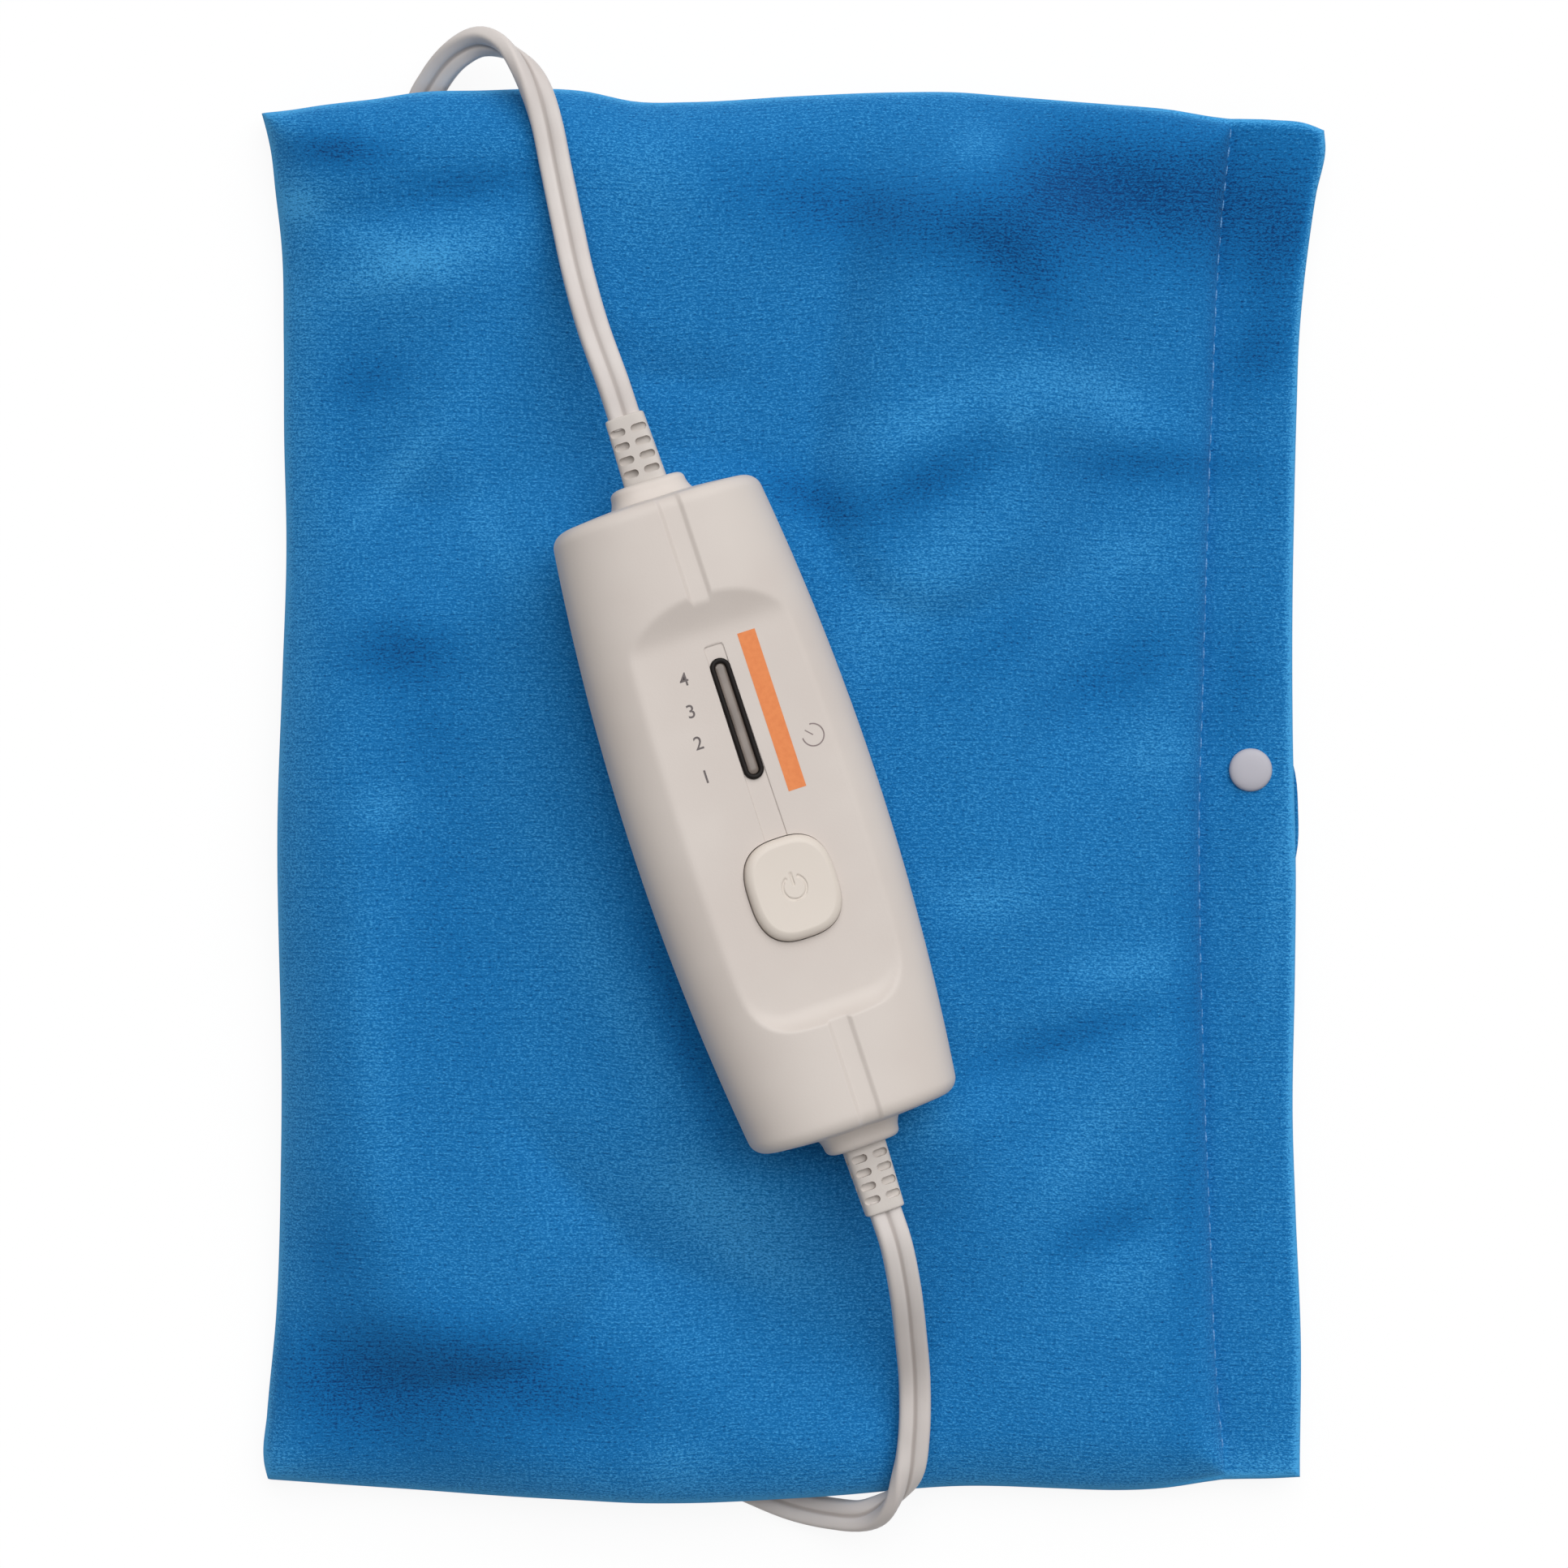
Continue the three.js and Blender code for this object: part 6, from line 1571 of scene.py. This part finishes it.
# %% Numbers
NUMBERS = [("4", (-8.4, 31.7)), ("3", (-9.1, 24.8)), ("2", (-9.7, 17.9)), ("1", (-10.4, 10.6))]
NUMBER_SIZE = 4.1
NUMBER_BOLD = 0.022


def number_shape(text):
    """The outline of one figure from Blender's own typeface, as flat points in mm and its triangles."""
    curve = bpy.data.curves.new("figure", "FONT")
    curve.body = text
    curve.size = NUMBER_SIZE
    curve.offset = NUMBER_BOLD
    curve.align_x = "CENTER"
    curve.align_y = "CENTER"
    drawn = bpy.data.objects.new("figure", curve)
    scene.collection.objects.link(drawn)
    mesh = drawn.to_mesh()
    mesh.calc_loop_triangles()
    points = np.empty(len(mesh.vertices) * 3, dtype=np.float32)
    mesh.vertices.foreach_get("co", points)
    triangles = np.empty(len(mesh.loop_triangles) * 3, dtype=np.int32)
    mesh.loop_triangles.foreach_get("vertices", triangles)
    drawn.to_mesh_clear()
    bpy.data.objects.remove(drawn)
    bpy.data.curves.remove(curve)
    return points.reshape(-1, 3)[:, :2].astype(float), triangles.reshape(-1, 3)


for figure, figure_place in NUMBERS:
    outline, triangles = number_shape(figure)
    panel_print(f"number_{figure}", outline + np.array(figure_place), triangles, grey_ink)

# %% Colour band
BAND_ACROSS, BAND_ALONG = np.linspace(5.77, 9.83, 9), np.linspace(2.28, 37.7, 60)

band = np.stack(np.meshgrid(BAND_ACROSS, BAND_ALONG), axis=-1)
panel_print("colour_band", band, grid_faces(*band.shape[:2]), orange_ink)

# %% Timer sign
TIMER_PLACE = (14.75, 12.2)
TIMER_RADIUS, TIMER_STROKE = 2.4, 0.3
TIMER_ARC = np.radians(np.linspace(181, 452, 48))
HAND_HEADING = np.radians(134.5)
HAND_LENGTH, HAND_HALF = 2.05, 0.125

reach = TIMER_RADIUS + np.array([-TIMER_STROKE / 2, TIMER_STROKE / 2])[:, None]
timer_ring = np.stack([reach * np.cos(TIMER_ARC), reach * np.sin(TIMER_ARC)], axis=-1) + np.array(TIMER_PLACE)
panel_print("timer_ring", timer_ring, grid_faces(*timer_ring.shape[:2]), pale_ink)
hand_side, hand_reach = np.meshgrid([-HAND_HALF, HAND_HALF], np.linspace(0, HAND_LENGTH, 8))
timer_hand = np.stack([hand_reach, hand_side], axis=-1) @ turn_about(2, HAND_HEADING)[:2, :2].T
panel_print("timer_hand", timer_hand + np.array(TIMER_PLACE), grid_faces(*timer_hand.shape[:2]), pale_ink)

# %% [markdown]
# ## The parts that stay as solids
# Screws, board, lamps, plug and the like already have their shapes in the solids. They keep them and only get
# a finish each: moulded plastic, plated metal, board lacquer, sleeved wire.

# %% Metal, lacquer and wire
def plated(name, dark, light, rough=0.28):
    """Plated metal: fine drawn streaks in its shine and slight tarnish."""
    material, shader, place = start_finish(name, {"Metallic": 1.0})
    drawn = place.node("ShaderNodeMapping", None, {"Vector": place, "Scale": (1.0, 1.0, 14.0)})
    streaks = noise(drawn, 700.0, 3.0)
    tarnish = noise(place, 160.0, 3.0)
    spread(tarnish).mix(dark, light).feed(shader, "Base Color")
    (rough + streaks * 0.18).feed(shader, "Roughness")
    return material


steel = plated("plated_steel", srgb(166, 166, 168), srgb(196, 196, 198))
brass = plated("plug_brass", srgb(176, 158, 112), srgb(206, 188, 142))
board_green = moulded("board_lacquer", srgb(26, 84, 50), srgb(38, 104, 62), 0.3, 700.0)
black_plastic = moulded("black_plastic", srgb(26, 26, 28), srgb(40, 40, 42), 0.45, 1300.0, 0.00004)
milky = moulded("milky_plastic", srgb(222, 222, 216), srgb(236, 236, 230), 0.25, 900.0, 0.00001)
can_blue = moulded("capacitor_sleeve", srgb(34, 52, 96), srgb(48, 68, 118), 0.3, 800.0, 0.00001)
wire_white = moulded("wire_sleeve", srgb(214, 206, 188), srgb(232, 226, 212), 0.5, 1600.0)
solid_finishes = [steel, brass, board_green, black_plastic, milky, can_blue, wire_white]
print("finishes:", [made.name for made in solid_finishes])

# %% Finish of each solid
NODE_FINISH = {
    steel: ["case_screw_1", "case_screw_2", "case_screw_3", "case_screw_4"],
    brass: ["plug_blade_1", "plug_blade_2"],
    board_green: ["circuit_board"],
    black_plastic: ["thermostat_1", "thermostat_2", "coil_tie", "control_chip", "triac", "tact_switch"],
    milky: ["light_guide", "led_1", "led_2", "led_3", "led_4", "tact_plunger", "fuse"],
    can_blue: ["capacitor"],
    wire_white: ["heating_wire"],
    snap_white: ["snap_socket", "snap_stud", "snap_stud_cap"],
    relief_grey: ["pad_inlet", "lead_tail_pad", "lead_tail_mains", "plug_body"],
}
for finish, names in NODE_FINISH.items():
    for name in names:
        for material_slot in bpy.data.objects[name].material_slots:
            material_slot.material = finish
print("solids finished:", sum(len(names) for names in NODE_FINISH.values()))
